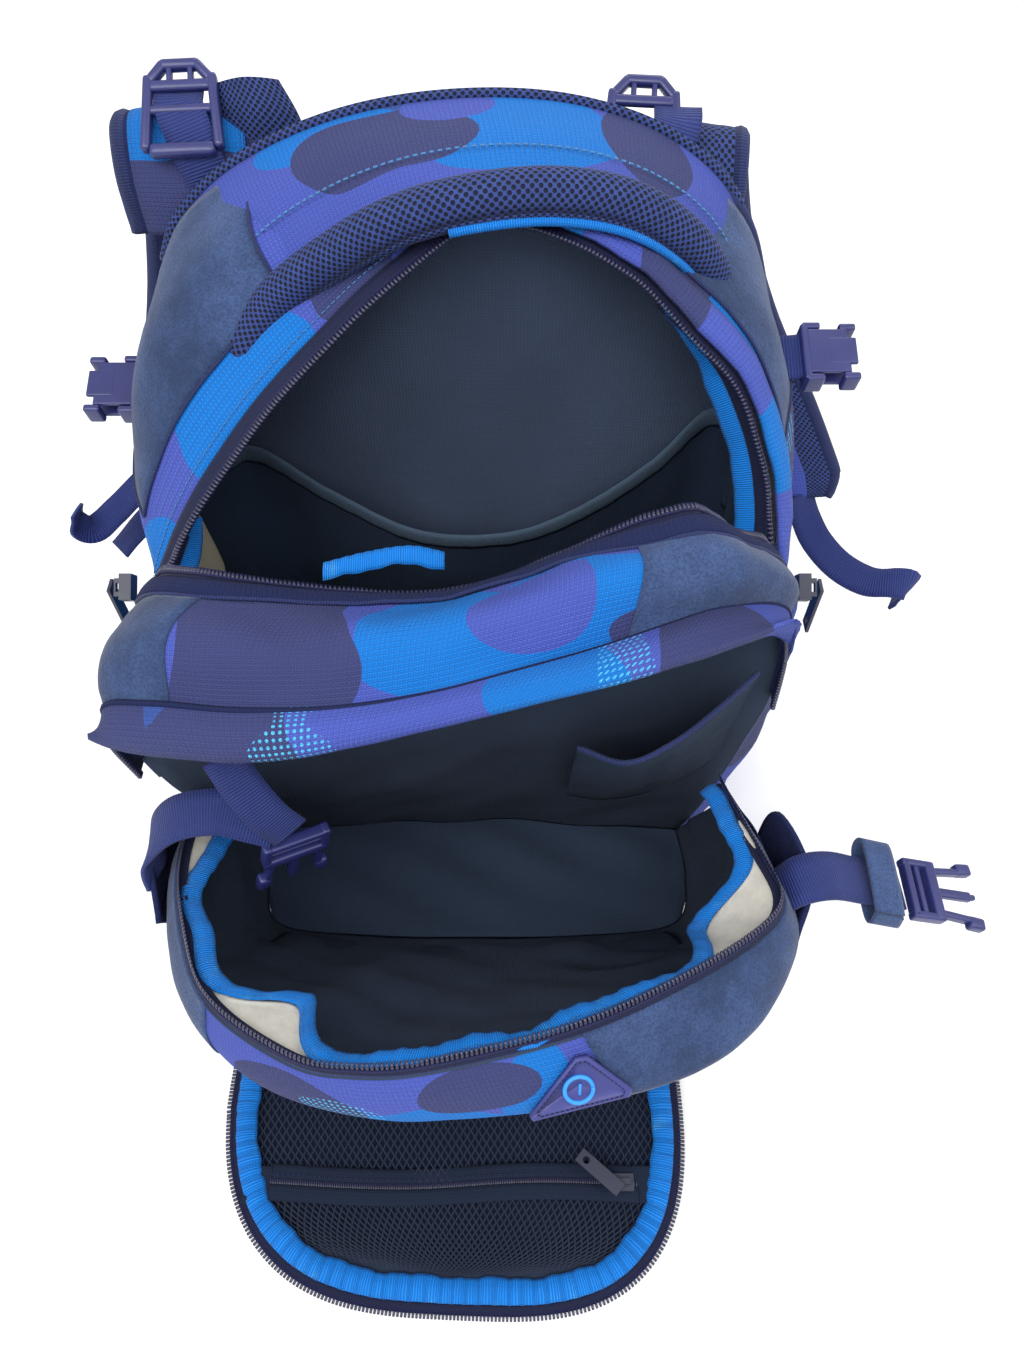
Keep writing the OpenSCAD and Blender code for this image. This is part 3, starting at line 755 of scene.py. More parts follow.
def pockets():
    """Pieces inside the main compartment: document pocket, pen pockets and blank care labels."""
    hem = [(-15.8, 3.0, 24.6), (-12.6, 6.0, 25.6), (-8, 4.6, 23.6), (-3, 2.6, 22.4), (2, 2.4, 22.4),
           (6, 3.4, 23.4), (10, 5.0, 25.4), (13, 6.6, 27.6), (15.4, 5.0, 28.0)]
    middle = [(-15.9, 4.4, 14), (-12, 6.2, 14), (-8, 5.4, 13), (-3, 4.0, 12.6), (2, 3.8, 12.6),
              (6, 4.4, 13), (10, 5.6, 14), (13, 6.6, 15), (15.9, 5.4, 15)]
    foot = [(-15.6, 6.0, 1), (-12, 7, 1), (-8, 7, 1), (-3, 7, 1), (2, 7, 1), (6, 7, 1), (10, 7, 1),
            (13, 7, 1), (15.6, 6.4, 1)]
    grid = rumpled(loft([hem, middle, foot], 80, 30), 0.25, 5, 9)
    pocket = cloth("document_pocket_cloth", grid, POCKET_CLOTH, 0.12)
    attach(pocket, ROOT, nodes=["document_pocket"])
    s, n = edge_frames(grid[0], grid[2])
    hem_tape = strip("document_pocket_hem", grid[0], -s, n, -0.1, 1.1, HEM, 0.1, 0.12, 0.1, 0.02)
    attach(hem_tape, ROOT)
    for i in range(3):
        y = 7.0 - 2.2 * i
        top = [(15.6, y - 1, 29.5 - i * 0.7), (14.6 - 0.3 * i, y, 29.2 - i * 0.7),
               (15.4, y + 1, 29.8 - i * 0.7)]
        low = [(px + 0.1, py, pz - 6.5) for px, py, pz in top]
        pen = cloth(f"pen_pocket_{i + 1}", rumpled(loft([top, low], 14, 14), 0.08, 2, i), POCKET_CLOTH, 0.1)
        attach(pen, ROOT, nodes=["pen_pocket"] if i == 0 else [])
    for i in range(2):
        y = 1.6 - 1.4 * i
        top = [(-15.3, y + 1.2, 24.2 - i), (-14.7, y, 24.4 - i), (-14.9, y - 1.4, 24.0 - i)]
        low = [(px + 0.5, py - 0.4, pz - 4.6) for px, py, pz in top]
        label = cloth(f"care_label_{i + 1}", rumpled(loft([top, low], 12, 14), 0.12, 3, i + 4), LABEL, 0.03)
        attach(label, ROOT, nodes=["care_labels"] if i == 0 else [])


# ---------------------------------------------------------------- middle section

MIDDLE_ZIP = [
    (-15.4, -4.6, 0.9), (-15.8, -4.9, 9), (-15.9, -5.1, 18), (-15.3, -5.3, 25.6), (-14.3, -6.8, 28.6),
    (-12.6, -8.0, 30.2), (-10.0, -8.5, 30.4), (-5.3, -7.9, 29.0), (-1.0, -7.7, 28.8), (2.2, -8.0, 30.4),
    (5.6, -8.3, 32.7), (8.2, -8.3, 33.9), (10.2, -7.9, 34.0), (12.4, -7.0, 31.8), (14.3, -5.7, 29.5),
    (15.1, -5.0, 26.4), (15.8, -5.1, 18), (15.8, -4.9, 9), (15.4, -4.6, 0.9),
]
MIDDLE_CROWN = [
    (-14.6, -5.0, 0.8), (-15.8, -6.6, 9), (-16.4, -8.6, 18), (-16.4, -10.0, 25.0), (-15.6, -10.8, 28.6),
    (-13.2, -11.6, 31.0), (-10.0, -12.2, 31.6), (-5.3, -12.0, 31.4), (-1.0, -11.4, 31.6),
    (2.2, -11.1, 32.4), (5.6, -10.8, 33.6), (8.6, -10.6, 34.2), (11.2, -10.0, 33.8), (13.8, -8.9, 31.8),
    (15.2, -7.9, 29.4), (15.8, -7.6, 25.4), (16.2, -7.2, 18), (15.8, -6.2, 9), (14.6, -5.0, 0.8),
]
STORM_SEAM = [
    (-13.7, -5.4, 0.8), (-14.4, -8.8, 9), (-14.7, -12.0, 18), (-15.0, -13.1, 23.5), (-15.3, -13.3, 27.8),
    (-12.6, -14.1, 29.4), (-9.0, -14.7, 29.8), (-5.0, -14.7, 29.9), (-1.0, -14.2, 30.2), (2.2, -13.4, 30.5),
    (5.6, -12.6, 31.0), (8.6, -11.8, 31.6), (11.2, -10.8, 31.6), (13.9, -9.4, 30.0), (14.9, -8.8, 27.8),
    (15.0, -9.4, 23.5), (14.7, -8.8, 18), (14.2, -7.4, 9), (13.7, -5.4, 0.8),
]
STORM_EDGE = [
    (-15.4, -13.9, 25.6), (-15.95, -14.4, 27.5), (-14.4, -15.2, 28.0), (-11.4, -16.0, 28.7),
    (-8.0, -16.4, 29.2), (-4.2, -16.1, 29.8), (0.0, -15.4, 30.5), (4.0, -14.8, 31.3), (8.0, -14.1, 32.2),
    (11.2, -12.8, 32.1), (14.3, -10.7, 30.8), (15.2, -9.4, 28.6),
]


def middle_section():
    """Roof and sides of the middle section, its suede corners and its half of the main zip."""
    outer = loft([MIDDLE_ZIP, MIDDLE_CROWN, STORM_SEAM], SHELL_U, 30)
    grid = rumpled(outer, 0.2, 3.8, 12)
    skin = cloth("middle_skin", grid[:, ::-1], CAMO, 0.18, LINING_CLOTH)
    ink(skin,
        azure=[blob(-1.4, -11.5, 31, 3.6, 3.4, 4), blob(5.4, -10.6, 33, 4.4, 2.6, 3.4),
               blob(2.5, -13, 31, 4, 1.6, 3), blob(-16, -8, 12, 3, 4, 4)],
        dark=[blob(-7.6, -12, 31, 4.2, 6, 4.4), blob(9.6, -12.4, 32, 3.6, 1.4, 2.6),
              blob(16, -7, 20, 3, 3, 6), blob(-16.4, -8, 21, 2, 4, 4)],
        violet=[blob(2.9, -11.2, 33, 2.6, 2.2, 2.6), blob(8.2, -8.6, 34, 2.6, 1.4, 1.6)])
    attach(skin, ROOT, ROOT_TO_MIDDLE,
           nodes=["middle_roof", "middle_side_left", "middle_side_right"])
    for name, u0, u1 in (("middle_suede_left", 0.245, 0.365), ("middle_suede_right", 0.583, 0.69)):
        corner = cloth(name, patch_of(grid, u0, u1, 0.17, 1.0, -0.09)[:, ::-1], SUEDE_CLOTH, 0.1)
        attach(corner, ROOT, ROOT_TO_MIDDLE)

    run = slice(int(0.20 * SHELL_U), int(0.80 * SHELL_U))
    s, n = edge_frames(grid[0], grid[2])
    n = n * np.sign(n[:, 2:3] + 1e-6)
    zip_half("main_zip_front", grid[0][run], s[run], n[run], ROOT, tape_w=0.7, blend=ROOT_TO_MIDDLE)
    facing = strip("main_zip_facing", grid[0][run], -s[run], n[run], -0.1, 1.0, NAVY_CLOTH,
                   0.1, 0.14, 0.08, 0.02)
    attach(facing, ROOT, ROOT_TO_MIDDLE)
    fold = cord_along("main_zip_fold", (grid[0] - s * 1.05 + n * 0.16)[run], 0.1, NAVY_BINDING, 6)
    attach(fold, ROOT, ROOT_TO_MIDDLE)

    peek = spline([(-6.4, -6.9, 28.9), (-4.4, -6.5, 29.2), (-2.4, -6.3, 29.4), (-0.8, -6.5, 29.2)], 40)
    tape = strip("inner_binding", peek, np.tile([0, 0.85, 0.5], (40, 1)), np.tile([0, -0.5, 0.85], (40, 1)),
                 0.0, 0.9, BINDING, 0.12, 0.0, 0.1, 0.05, wander=0.05)
    attach(tape, ROOT, ROOT_TO_MIDDLE)


def middle_storm_flap():
    """Sagging flap over the second zip, with the piping along its seam."""
    edge = spline(STORM_EDGE, 120)
    inner_seam = spline(STORM_SEAM[3:-3], 120)
    top = across([inner_seam + np.array([0, 0.1, 0.15]), (inner_seam + edge) / 2 + np.array([0, -0.25, 0.5]),
                  edge, edge + np.array([0, 0.35, -0.75]),
                  edge * 0.6 + inner_seam * 0.4 + np.array([0, 0.3, -1.0])], 18)
    flap = cloth("middle_storm_skin", rumpled(top, 0.06, 4, 3), CAMO, 0.12)
    ink(flap,
        azure=[blob(4.2, -14.6, 31, 3.0, 3, 3), blob(-15.6, -14, 27, 1.4, 3, 3)],
        dark=[blob(-9.2, -15.6, 29, 2.6, 3, 3), blob(-14.2, -15, 28, 1.4, 3, 2),
              blob(11, -13, 32, 3.4, 3, 3)],
        slate=[blob(-12, -15.5, 28.6, 3, 3, 3)],
        dots=[blob(6.8, -14, 32, 1.2, 3, 3), blob(-6.4, -16, 29.4, 1.6, 3, 1)])
    attach(flap, MIDDLE, nodes=["middle_storm_flap"])
    seam = cord_along("middle_storm_piping", inner_seam + np.array([0, -0.05, 0.22]), 0.16, NAVY_CLOTH)
    attach(seam, MIDDLE)


def divider():
    """The lining wall between the compartments, with the rear half of the second zip at its top."""
    edge = spline(STORM_SEAM, SHELL_U)
    grid = wall_across(edge)
    inside = np.sin(np.linspace(0, math.pi, grid.shape[0]))[:, None] ** 0.5
    below_crown = np.clip(np.linspace(6, -0.5, grid.shape[1]), 0, 1)
    grid[:, :, 1] += (ripple(grid, 5, 14) * 0.35 + ripple(grid, 2.6, 9) * 0.16 + 0.7) * inside * below_crown
    crown = edge[int(0.28 * SHELL_U):int(0.7 * SHELL_U)]
    crown = crown[np.argsort(crown[:, 0])]
    seam_y = np.interp(grid[:, :, 0], crown[:, 0], crown[:, 1]) + 0.1
    seam_z = np.interp(grid[:, :, 0], crown[:, 0], crown[:, 2]) - 0.15
    near = np.clip((grid[:, :, 2] - seam_z + 2.0) / 2.0, 0, 1)
    grid[:, :, 1] += (seam_y - grid[:, :, 1]) * near
    grid[:, :, 2] = np.minimum(grid[:, :, 2], seam_z)
    wall = cloth("divider_cloth", grid[:, ::-1], LINING_CLOTH, 0.25, flat=(0, 2))
    attach(wall, MIDDLE, nodes=["divider_panel"])
    # second zip, rear half, tucked under the storm flap
    line = spline(STORM_SEAM[3:-3], 120) + np.array([0, -0.05, -0.25])
    s, n = edge_frames(line, line + np.array([0, 1.0, 0.6]))
    zip_half("second_zip_rear", line, s, n, MIDDLE, tape_w=0.7)


def organiser():
    """Small pocket on the divider's right side."""
    top = [(5.4, -12.6, 23.6), (7.6, -13.6, 23.9), (9.8, -13.0, 24.8), (11.8, -11.8, 25.8),
           (13.6, -10.4, 26.6)]
    mid = [(5.4, -10.9, 18.0), (7.6, -11.8, 18.2), (9.8, -11.3, 18.8), (11.8, -10.4, 19.6),
           (13.6, -9.4, 20.2)]
    low = [(5.4, -9.2, 13.0), (7.6, -9.6, 13.2), (9.8, -9.4, 13.6), (11.8, -8.8, 14.2), (13.6, -8.0, 14.8)]
    pocket = cloth("organiser_cloth", rumpled(loft([top, mid, low], 40, 22), 0.22, 3, 8), POCKET_CLOTH, 0.1)
    attach(pocket, MIDDLE, nodes=["organiser_pocket"])
    hem = cord_along("organiser_hem", spline(top, 40), 0.14, NAVY_BINDING)
    attach(hem, MIDDLE)


# ---------------------------------------------------------------- front section

FRONT_FOOT = [(-13.6, -5.4, 0.9), (-13.9, -9.0, 0.9), (-12.8, -12.2, 0.9), (-6.5, -13.0, 0.9),
              (0, -13.1, 0.9), (6.5, -13.0, 0.9), (12.8, -12.2, 0.9), (13.9, -9.0, 0.9), (13.6, -5.4, 0.9)]
FRONT_LOW = [(-14.1, -7.6, 7.0), (-14.7, -11.5, 7.5), (-13.2, -16.2, 8.0), (-6.5, -17.8, 8.2),
             (0, -18.0, 8.2), (6.5, -17.6, 8.2), (13.2, -16.0, 8.0), (14.9, -11.3, 7.5), (14.1, -7.4, 7.0)]
FRONT_HIGH = [(-14.3, -9.9, 13.6), (-14.8, -14.5, 14.2), (-13.4, -20.0, 14.8), (-7.0, -22.8, 15.2),
              (-1, -23.0, 15.2), (6.0, -21.8, 15.2), (13.4, -18.9, 14.8), (15.4, -14.3, 14.2),
              (14.3, -9.9, 13.8)]
FRONT_RIM = [(-13.9, -11.0, 17.5), (-14.1, -15.9, 18.4), (-13.1, -19.8, 19.2), (-11.1, -23.5, 19.9),
             (-7.2, -26.1, 20.4), (-4.4, -26.7, 20.5), (-1.0, -26.5, 20.5), (5.2, -24.9, 20.2),
             (10.2, -22.6, 19.8), (13.8, -20.3, 19.3), (15.2, -18.4, 19.0), (14.6, -15.6, 18.5),
             (13.3, -11.2, 17.7)]
BAND_EDGE = [(-14.0, -12.2, 14.8), (-14.8, -16.0, 15.6), (-14.0, -20.0, 16.2), (-12.2, -23.4, 16.9),
             (-8.6, -26.4, 17.4), (-5.0, -27.5, 17.7), (-1.0, -27.8, 17.7), (5.0, -27.2, 17.6),
             (10.2, -25.8, 17.3), (14.0, -23.2, 16.8), (16.2, -19.3, 16.0), (15.8, -15.6, 15.4),
             (14.0, -11.6, 14.8)]
FRONT_U = 150


def front_section():
    """Lining, shell, camouflage band and suede corners; returns the rim and the band's grid."""
    bucket = rumpled(loft([FRONT_FOOT, FRONT_LOW, FRONT_HIGH, FRONT_RIM], FRONT_U, 36), 0.34, 3.8, 17)
    inside = cloth("front_lining", bucket[:, ::-1], LINING_CLOTH, 0.12)
    attach(inside, MIDDLE, MIDDLE_TO_FRONT, nodes=["front_panel"])

    outside = bucket + normals(bucket) * 0.34
    below_band = slice(0, -5)
    shell = cloth("front_shell", outside[below_band], NAVY_CLOTH, 0.1)
    attach(shell, MIDDLE, MIDDLE_TO_FRONT,
           nodes=["front_side_left", "front_side_right"])

    rim = bucket[-1]
    lower = spline(BAND_EDGE, FRONT_U)
    bulge = (rim + lower) / 2 + (lower - np.array([0, -12, 20])) * 0.025
    under = lower * np.array([0.97, 1, 1]) + np.array([0, 1.4, -1.2])
    band_grid = rumpled(across([rim, bulge, lower, under], 18), 0.08, 4, 21)
    band = cloth("front_band", band_grid[:, ::-1], CAMO, 0.2)
    ink(band,
        azure=[blob(-2.5, -28, 17.2, 5.2, 2.4, 1.7), blob(3.4, -26.8, 18.6, 1.6, 2, 2)],
        dark=[blob(-7, -27, 18.4, 4.4, 2, 1.8), blob(8, -26, 18, 2.6, 3, 2.2),
              blob(-13.6, -20, 18, 3, 5, 3), blob(1, -27, 19.4, 2.6, 1.4, 1)],
        dots=[blob(-5.2, -27.4, 18.4, 2.4, 2, 1.2), blob(-14.4, -19, 17, 2, 3, 2)])
    attach(band, MIDDLE, MIDDLE_TO_FRONT, nodes=["front_roof"])
    for name, u0, u1 in (("front_suede_right", 0.61, 0.99), ("front_suede_left", 0.01, 0.26)):
        part = patch_of(band_grid[:, ::-1], 1 - u1, 1 - u0, 0.04, 0.97, 0.09)
        corner = cloth(name, part, SUEDE_CLOTH, 0.1)
        attach(corner, MIDDLE, MIDDLE_TO_FRONT)

    return rim, band_grid


def front_edge(rim, band_grid):
    """What is sewn to the front section's rim: zip half, cream facing and puckered binding."""
    s = edge_frames(rim, band_grid[3])[0]
    up = np.tile(np.array([0, 0.25, 1.0]), (FRONT_U, 1))
    zip_half("second_zip_front", rim + up * 0.12, s, up / 1.03, MIDDLE, tape_w=0.35, pitch=0.21,
             blend=MIDDLE_TO_FRONT, start=-0.05, coil_lift=0.12)
    inward = np.array([0, -15, 18]) - rim
    inward[:, 2] = 0
    inward /= np.linalg.norm(inward, axis=1, keepdims=True)
    place = np.linspace(0, 1, FRONT_U)
    narrow = 0.42
    width = np.full(FRONT_U, narrow)
    for extra, middle, reach in ((2.4, 0.315, 0.035), (2.6, 0.83, 0.05), (1.0, 0.06, 0.05)):
        width += extra * np.exp(-((place - middle) / reach) ** 2)
    width += 0.2 * np.sin(place * 41) * (place > 0.4) * (place < 0.7)
    drop = 0.12 + (width - narrow) * (0.55 + 0.5 * (place > 0.6))
    fold = rim + inward * width[:, None] - np.array([0, 0, 1]) * drop[:, None]
    fold = fold + inward * (0.12 * np.sin(place * 75) + 0.1 * np.sin(place * 31 + 1))[:, None]
    sheet = across([rim + inward * 0.12 - up * 0.05, (rim + fold) / 2 + up * 0.08, fold], 12)
    facing = cloth("front_facing_cloth", rumpled(sheet, 0.1, 2.4, 5), CREAM, 0.08)
    attach(facing, MIDDLE, MIDDLE_TO_FRONT)
    lean = inward * 0.8 + up * -0.35
    lean /= np.linalg.norm(lean, axis=1, keepdims=True)
    binding = strip("front_binding_tape", fold - lean * 0.15, lean, up, 0.0, 1.0, BINDING, 0.16, 0.16, 0.16,
                    0.08, columns=7)
    attach(binding, MIDDLE, MIDDLE_TO_FRONT, nodes=["front_binding"])
    gutter = strip("front_zip_inner_tape", rim, inward, up, 0.1, 0.5, ZIP_TAPE, 0.08, 0.06)
    attach(gutter, MIDDLE, MIDDLE_TO_FRONT)
    hem = beads("front_binding_stitch", fold + lean * 0.06 + up * 0.3, lean, up, 0.26, (0.16, 0.04, 0.04),
                0.0, PALE_THREAD, 0.0)
    attach(hem, MIDDLE, MIDDLE_TO_FRONT)


def front_patch():
    """Triangular rubber patch with a plain ring round a cable slot."""
    centre = np.array([5.1, -26.6, 19.05])
    out = np.array([0.12, -0.72, 0.68])
    out /= np.linalg.norm(out)
    right = np.array([0.98, 0.2, 0.03])
    right -= out * (right @ out)
    right /= np.linalg.norm(right)
    up = np.cross(out, right)
    corners = [(-2.5, -1.25), (2.5, -1.05), (0.35, 1.5)]
    rim = []
    for k, (x, y) in enumerate(corners):
        for other in (corners[k - 1], corners[(k + 1) % 3]):
            d = math.hypot(other[0] - x, other[1] - y)
            rim.append((x + (other[0] - x) * 0.35 / d, y + (other[1] - y) * 0.35 / d))
    rings = []
    for scale, height in ((1.0, 0.0), (1.0, 0.14), (0.95, 0.2), (0.86, 0.2), (0.83, 0.15), (0.4, 0.15),
                          (0.02, 0.15)):
        rings.append([centre + right * x * scale + up * y * scale + out * height for x, y in rim])
    grid = np.array([ring + [ring[0]] for ring in rings])
    patch = cloth("front_patch_rubber", grid[:, ::-1], PATCH, 0.03)
    attach(patch, FRONT, nodes=["front_patch"])
    turn = np.linspace(0, 2 * math.pi, 33)
    ring = [centre + out * 0.2 + right * 0.62 * math.cos(a) + up * (0.62 * math.sin(a) - 0.2) for a in turn]
    loop = cord_along("front_patch_ring", ring, 0.1, PATCH_RING)
    attach(loop, FRONT)
    slot = [centre + out * 0.17 + right * (0.02 * k) + up * (-0.45 + 0.1 * k) for k in range(6)]
    mark = cord_along("front_patch_slot", slot, 0.07, PATCH_RING)
    attach(mark, FRONT)
    count = len(grid[3])
    beading = beads("front_patch_stitch", grid[3] + out * 0.02, np.tile(up, (count, 1)),
                    np.tile(out, (count, 1)), 0.22, (0.14, 0.05, 0.05), 0.0, THREAD, 0.02)
    attach(beading, FRONT)


def pocket_back():
    """Outer face of the front section behind the open pocket flap, down to the flap's hinge."""
    top = [(-12.0, -22.2, 15.9), (-6, -25.2, 16.5), (0, -26.0, 16.7), (6, -25.2, 16.5), (12.4, -22.4, 15.9)]
    high = [(-12.6, -20.6, 14.6), (-6, -23.3, 15.0), (0, -23.7, 15.1), (6, -22.8, 15.0),
            (12.6, -20.2, 14.6)]
    mid = [(-12.6, -17.2, 8.4), (-6, -18.9, 8.6), (0, -19.1, 8.6), (6, -18.8, 8.6), (12.6, -17.0, 8.4)]
    low = [(-12.0, -13.3, 2.2), (-6, -14.0, 2.2), (0, -14.1, 2.2), (6, -14.0, 2.2), (12.0, -13.3, 2.2)]
    hinge = [(-13.0, -15.2, 0.35), (-6, -15.3, 0.35), (0, -15.3, 0.35), (6, -15.3, 0.35),
             (11.4, -15.2, 0.35)]
    wall = cloth("pocket_back", rumpled(loft([top, high, mid, low, hinge], 60, 30), 0.12, 4, 2),
                 POCKET_CLOTH, 0.12)
    attach(wall, FRONT)


# ---------------------------------------------------------------- pocket flap on the floor

FLAP_LEFT, FLAP_RIGHT = -13.7, 11.5
FLAP_BACK, FLAP_TIP = -15.4, -33.4


def flap_outline(inset, count, z):
    """U-shaped edge of the flap, from its left hinge end round the tip to the right."""
    half = (FLAP_RIGHT - FLAP_LEFT) / 2 - inset
    middle = (FLAP_LEFT + FLAP_RIGHT) / 2
    points = []
    for k in np.linspace(0, 1, 41):
        a = math.pi * k
        c, s = math.cos(a), math.sin(a)
        x = middle - half * math.copysign(abs(c) ** 0.62, c)
        y = -22.6 - (abs(FLAP_TIP + 22.6) - inset) * s ** 0.78
        skew = 0.9 * (x - middle) / half * s
        points.append((x + 0.5 * s, y - 0.5 * skew, z))
    points = [(points[0][0] + 0.2, FLAP_BACK, z)] + points + [(points[-1][0] - 0.2, FLAP_BACK, z)]
    return spline(points, count)


def flap_surface(z, sag, seed, inset=0.3, rows=34, bump=0.0):
    """Rows from the left edge to the right edge across the flap, from hinge to tip."""
    edge = flap_outline(inset, 121, z)
    left, right = edge[:61], edge[60:][::-1]
    grid = across([left, right], rows)
    rise = ripple(grid, 4.5, seed) * sag + bump
    fade = np.clip(np.minimum(np.linspace(0, 5, rows), np.linspace(5, 0, rows)), 0, 1)[:, None]
    grid[:, :, 2] += rise * fade
    return grid


def knitted_net(grid, cell, tall, wire):
    """Open knitted mesh over a grid: zigzag threads that touch their neighbours in turn."""
    nv, nu = grid.shape[:2]
    middle = sheet_uv(grid) / CM
    width, height = middle[-1, 0, 1], middle[0, -1, 0]
    count = int(width / cell)
    steps = int(height / (tall / 4))
    k = np.arange(steps)
    zig = np.abs((k % 4) - 2) - 1.0
    points, faces = [], []
    across_ring = [(-1, -0.3), (0, 0.9), (1, -0.3)]
    for row in range(count):
        sign = 1 if row % 2 else -1
        v = (row + 0.5) * cell + sign * zig * cell * 0.42
        y = np.clip(v / width * (nv - 1), 0, nv - 1.001)
        x = np.clip(k / steps * (nu - 1), 0, nu - 1.001)
        i, j = x.astype(int), y.astype(int)
        a, b = (x - i)[:, None], (y - j)[:, None]
        line = (grid[j, i] * (1 - a) * (1 - b) + grid[j, i + 1] * a * (1 - b)
                + grid[j + 1, i] * (1 - a) * b + grid[j + 1, i + 1] * a * b)
        t = np.gradient(line, axis=0)
        side = np.cross(t, (0, 0, 1.0))
        side /= np.maximum(np.linalg.norm(side, axis=1, keepdims=True), 1e-6)
        base = len(points)
        ring = np.array([line + side * p * wire + np.array([0, 0, q * wire]) for p, q in across_ring])
        points.extend(ring.transpose(1, 0, 2).reshape(-1, 3))
        for m in range(steps - 1):
            for p, q in ((0, 1), (1, 2), (2, 0)):
                faces.append((base + m * 3 + p, base + m * 3 + q, base + m * 3 + 3 + q,
                              base + m * 3 + 3 + p))
    points = np.array(points)
    return points, faces, points[:, :2] * CM


def pocket_flap():
    """The small pocket's front, open on the floor: panel, net, binding, and both of its zips."""
    base = flap_surface(0.62, 0.12, 3, inset=-0.1)
    panel = cloth("flap_skin", base, FLAP_CLOTH, 0.35, CAMO, flat=(0, 1))
    ink(panel, azure=[blob(-5, -28, 0, 6, 5, 3), blob(7, -20, 0, 5, 4, 3)], dark=[blob(5, -28, 0, 4, 5, 3)])
    attach(panel, FLAP, nodes=["flap_panel"])
    net_grid = flap_surface(0.95, 0.22, 9, inset=0.9, bump=0.1)
    points, faces, uvs = knitted_net(net_grid, 0.21, 0.46, 0.045)
    net = mesh_of("flap_net", points, faces, uvs, NET)
    attach(net, FLAP, nodes=["flap_mesh"])

    edge = flap_outline(0.0, 240, 0.85)
    s, n = edge_frames(edge, np.array([-1.1, -20, 0.85]))
    n = n * np.sign(n[:, 2:3])
    binding = strip("flap_binding_tape", edge - s * 0.95, s, n, 0.0, 0.95, BINDING, 0.3, 0.15, 0.2, 0.09,
                    columns=7, wander=0.07)
    attach(binding, FLAP, nodes=["flap_binding"])
    zip_half("flap_zip", edge - n * 0.22, s, n, FLAP, tape_w=0.62, start=0.02)

    y_zip = -27.75
    xs = np.linspace(-11.4, 9.4, 90)
    line = np.stack([xs, y_zip + 0.18 * np.sin(xs * 0.35), 1.12 + 0.05 * np.sin(xs * 0.8)], 1)
    side = np.tile([0.0, 1.0, 0.0], (90, 1))
    up = np.tile([0.0, 0.0, 1.0], (90, 1))
    for k, sign in enumerate((1, -1)):
        tape = strip(f"pocket_zip_tape_{k + 1}", line, side * sign, up, 0.12, 0.95, ZIP_STRIP, 0.1, 0.06,
                     0.05, 0.012)
        attach(tape, FLAP)
        seam = beads(f"pocket_zip_seam_{k + 1}", line, side * sign, up, 0.3, (0.2, 0.05, 0.05), 0.4, THREAD,
                     0.16)
        attach(seam, FLAP)
    coil = beads("pocket_zip_coil", line, side, up, 0.13, (0.09, 0.42, 0.16), 0.0, COIL, 0.05)
    attach(coil, FLAP, nodes=["pocket_zip"])
    for name, x0, x1 in (("flap_tab_left", -12.9, -11.3), ("flap_tab_right", 9.0, 10.5)):
        top = [(x0, y_zip + 0.95, 1.22), ((x0 + x1) / 2, y_zip + 0.95, 1.3), (x1, y_zip + 0.95, 1.22)]
        low = [(x, y_zip - 0.95, z) for x, _, z in top]
        tab = cloth(name, rumpled(loft([low, top], 16, 12), 0.03, 2, 1), ZIP_STRIP, 0.1)
        attach(tab, FLAP)


# ---------------------------------------------------------------- straps, pads, base


def tube_grid(path, side, wide, thick, sides=20, power=0.55):
    """Closed ribbon with a rounded, padded cross-section along a path."""
    path = np.asarray(path)
    t = np.gradient(path, axis=0)
    t /= np.linalg.norm(t, axis=1, keepdims=True)
    n = np.cross(t, side)
    n /= np.linalg.norm(n, axis=1, keepdims=True)
    rows = []
    for a in np.linspace(0, 2 * math.pi, sides + 1):
        c, s = math.cos(a), math.sin(a)
        rows.append(path + side * (math.copysign(abs(c) ** power, c) * wide / 2)
                    + n * (math.copysign(abs(s) ** power, s) * thick / 2))
    return np.array(rows), n


def strap_route(s):
    """Same route as the frame's shoulder strap: over the top of the back and down behind it."""
    x, z, flare = (13.2, 39.4, 5.6) if s < 0 else (10.0, 38.6, 10.8)
    y = 10
    return [(s * x, y + 0.9, z - 4.0), (s * (x + 0.1), y + 1.4, z - 1.4), (s * (x + 0.2), y + 3.0, z + 0.2),
            (s * (x + 0.06 * flare), y + 5.0, z - 1.2), (s * (x + 0.18 * flare), y + 6.0, z - 6.0),
            (s * (x + 0.42 * flare), y + 5.4, z - 11.6), (s * (x + 0.72 * flare), y + 3.7, z - 16.8),
            (s * (x + flare), y + 1.4, z - 22.2)]


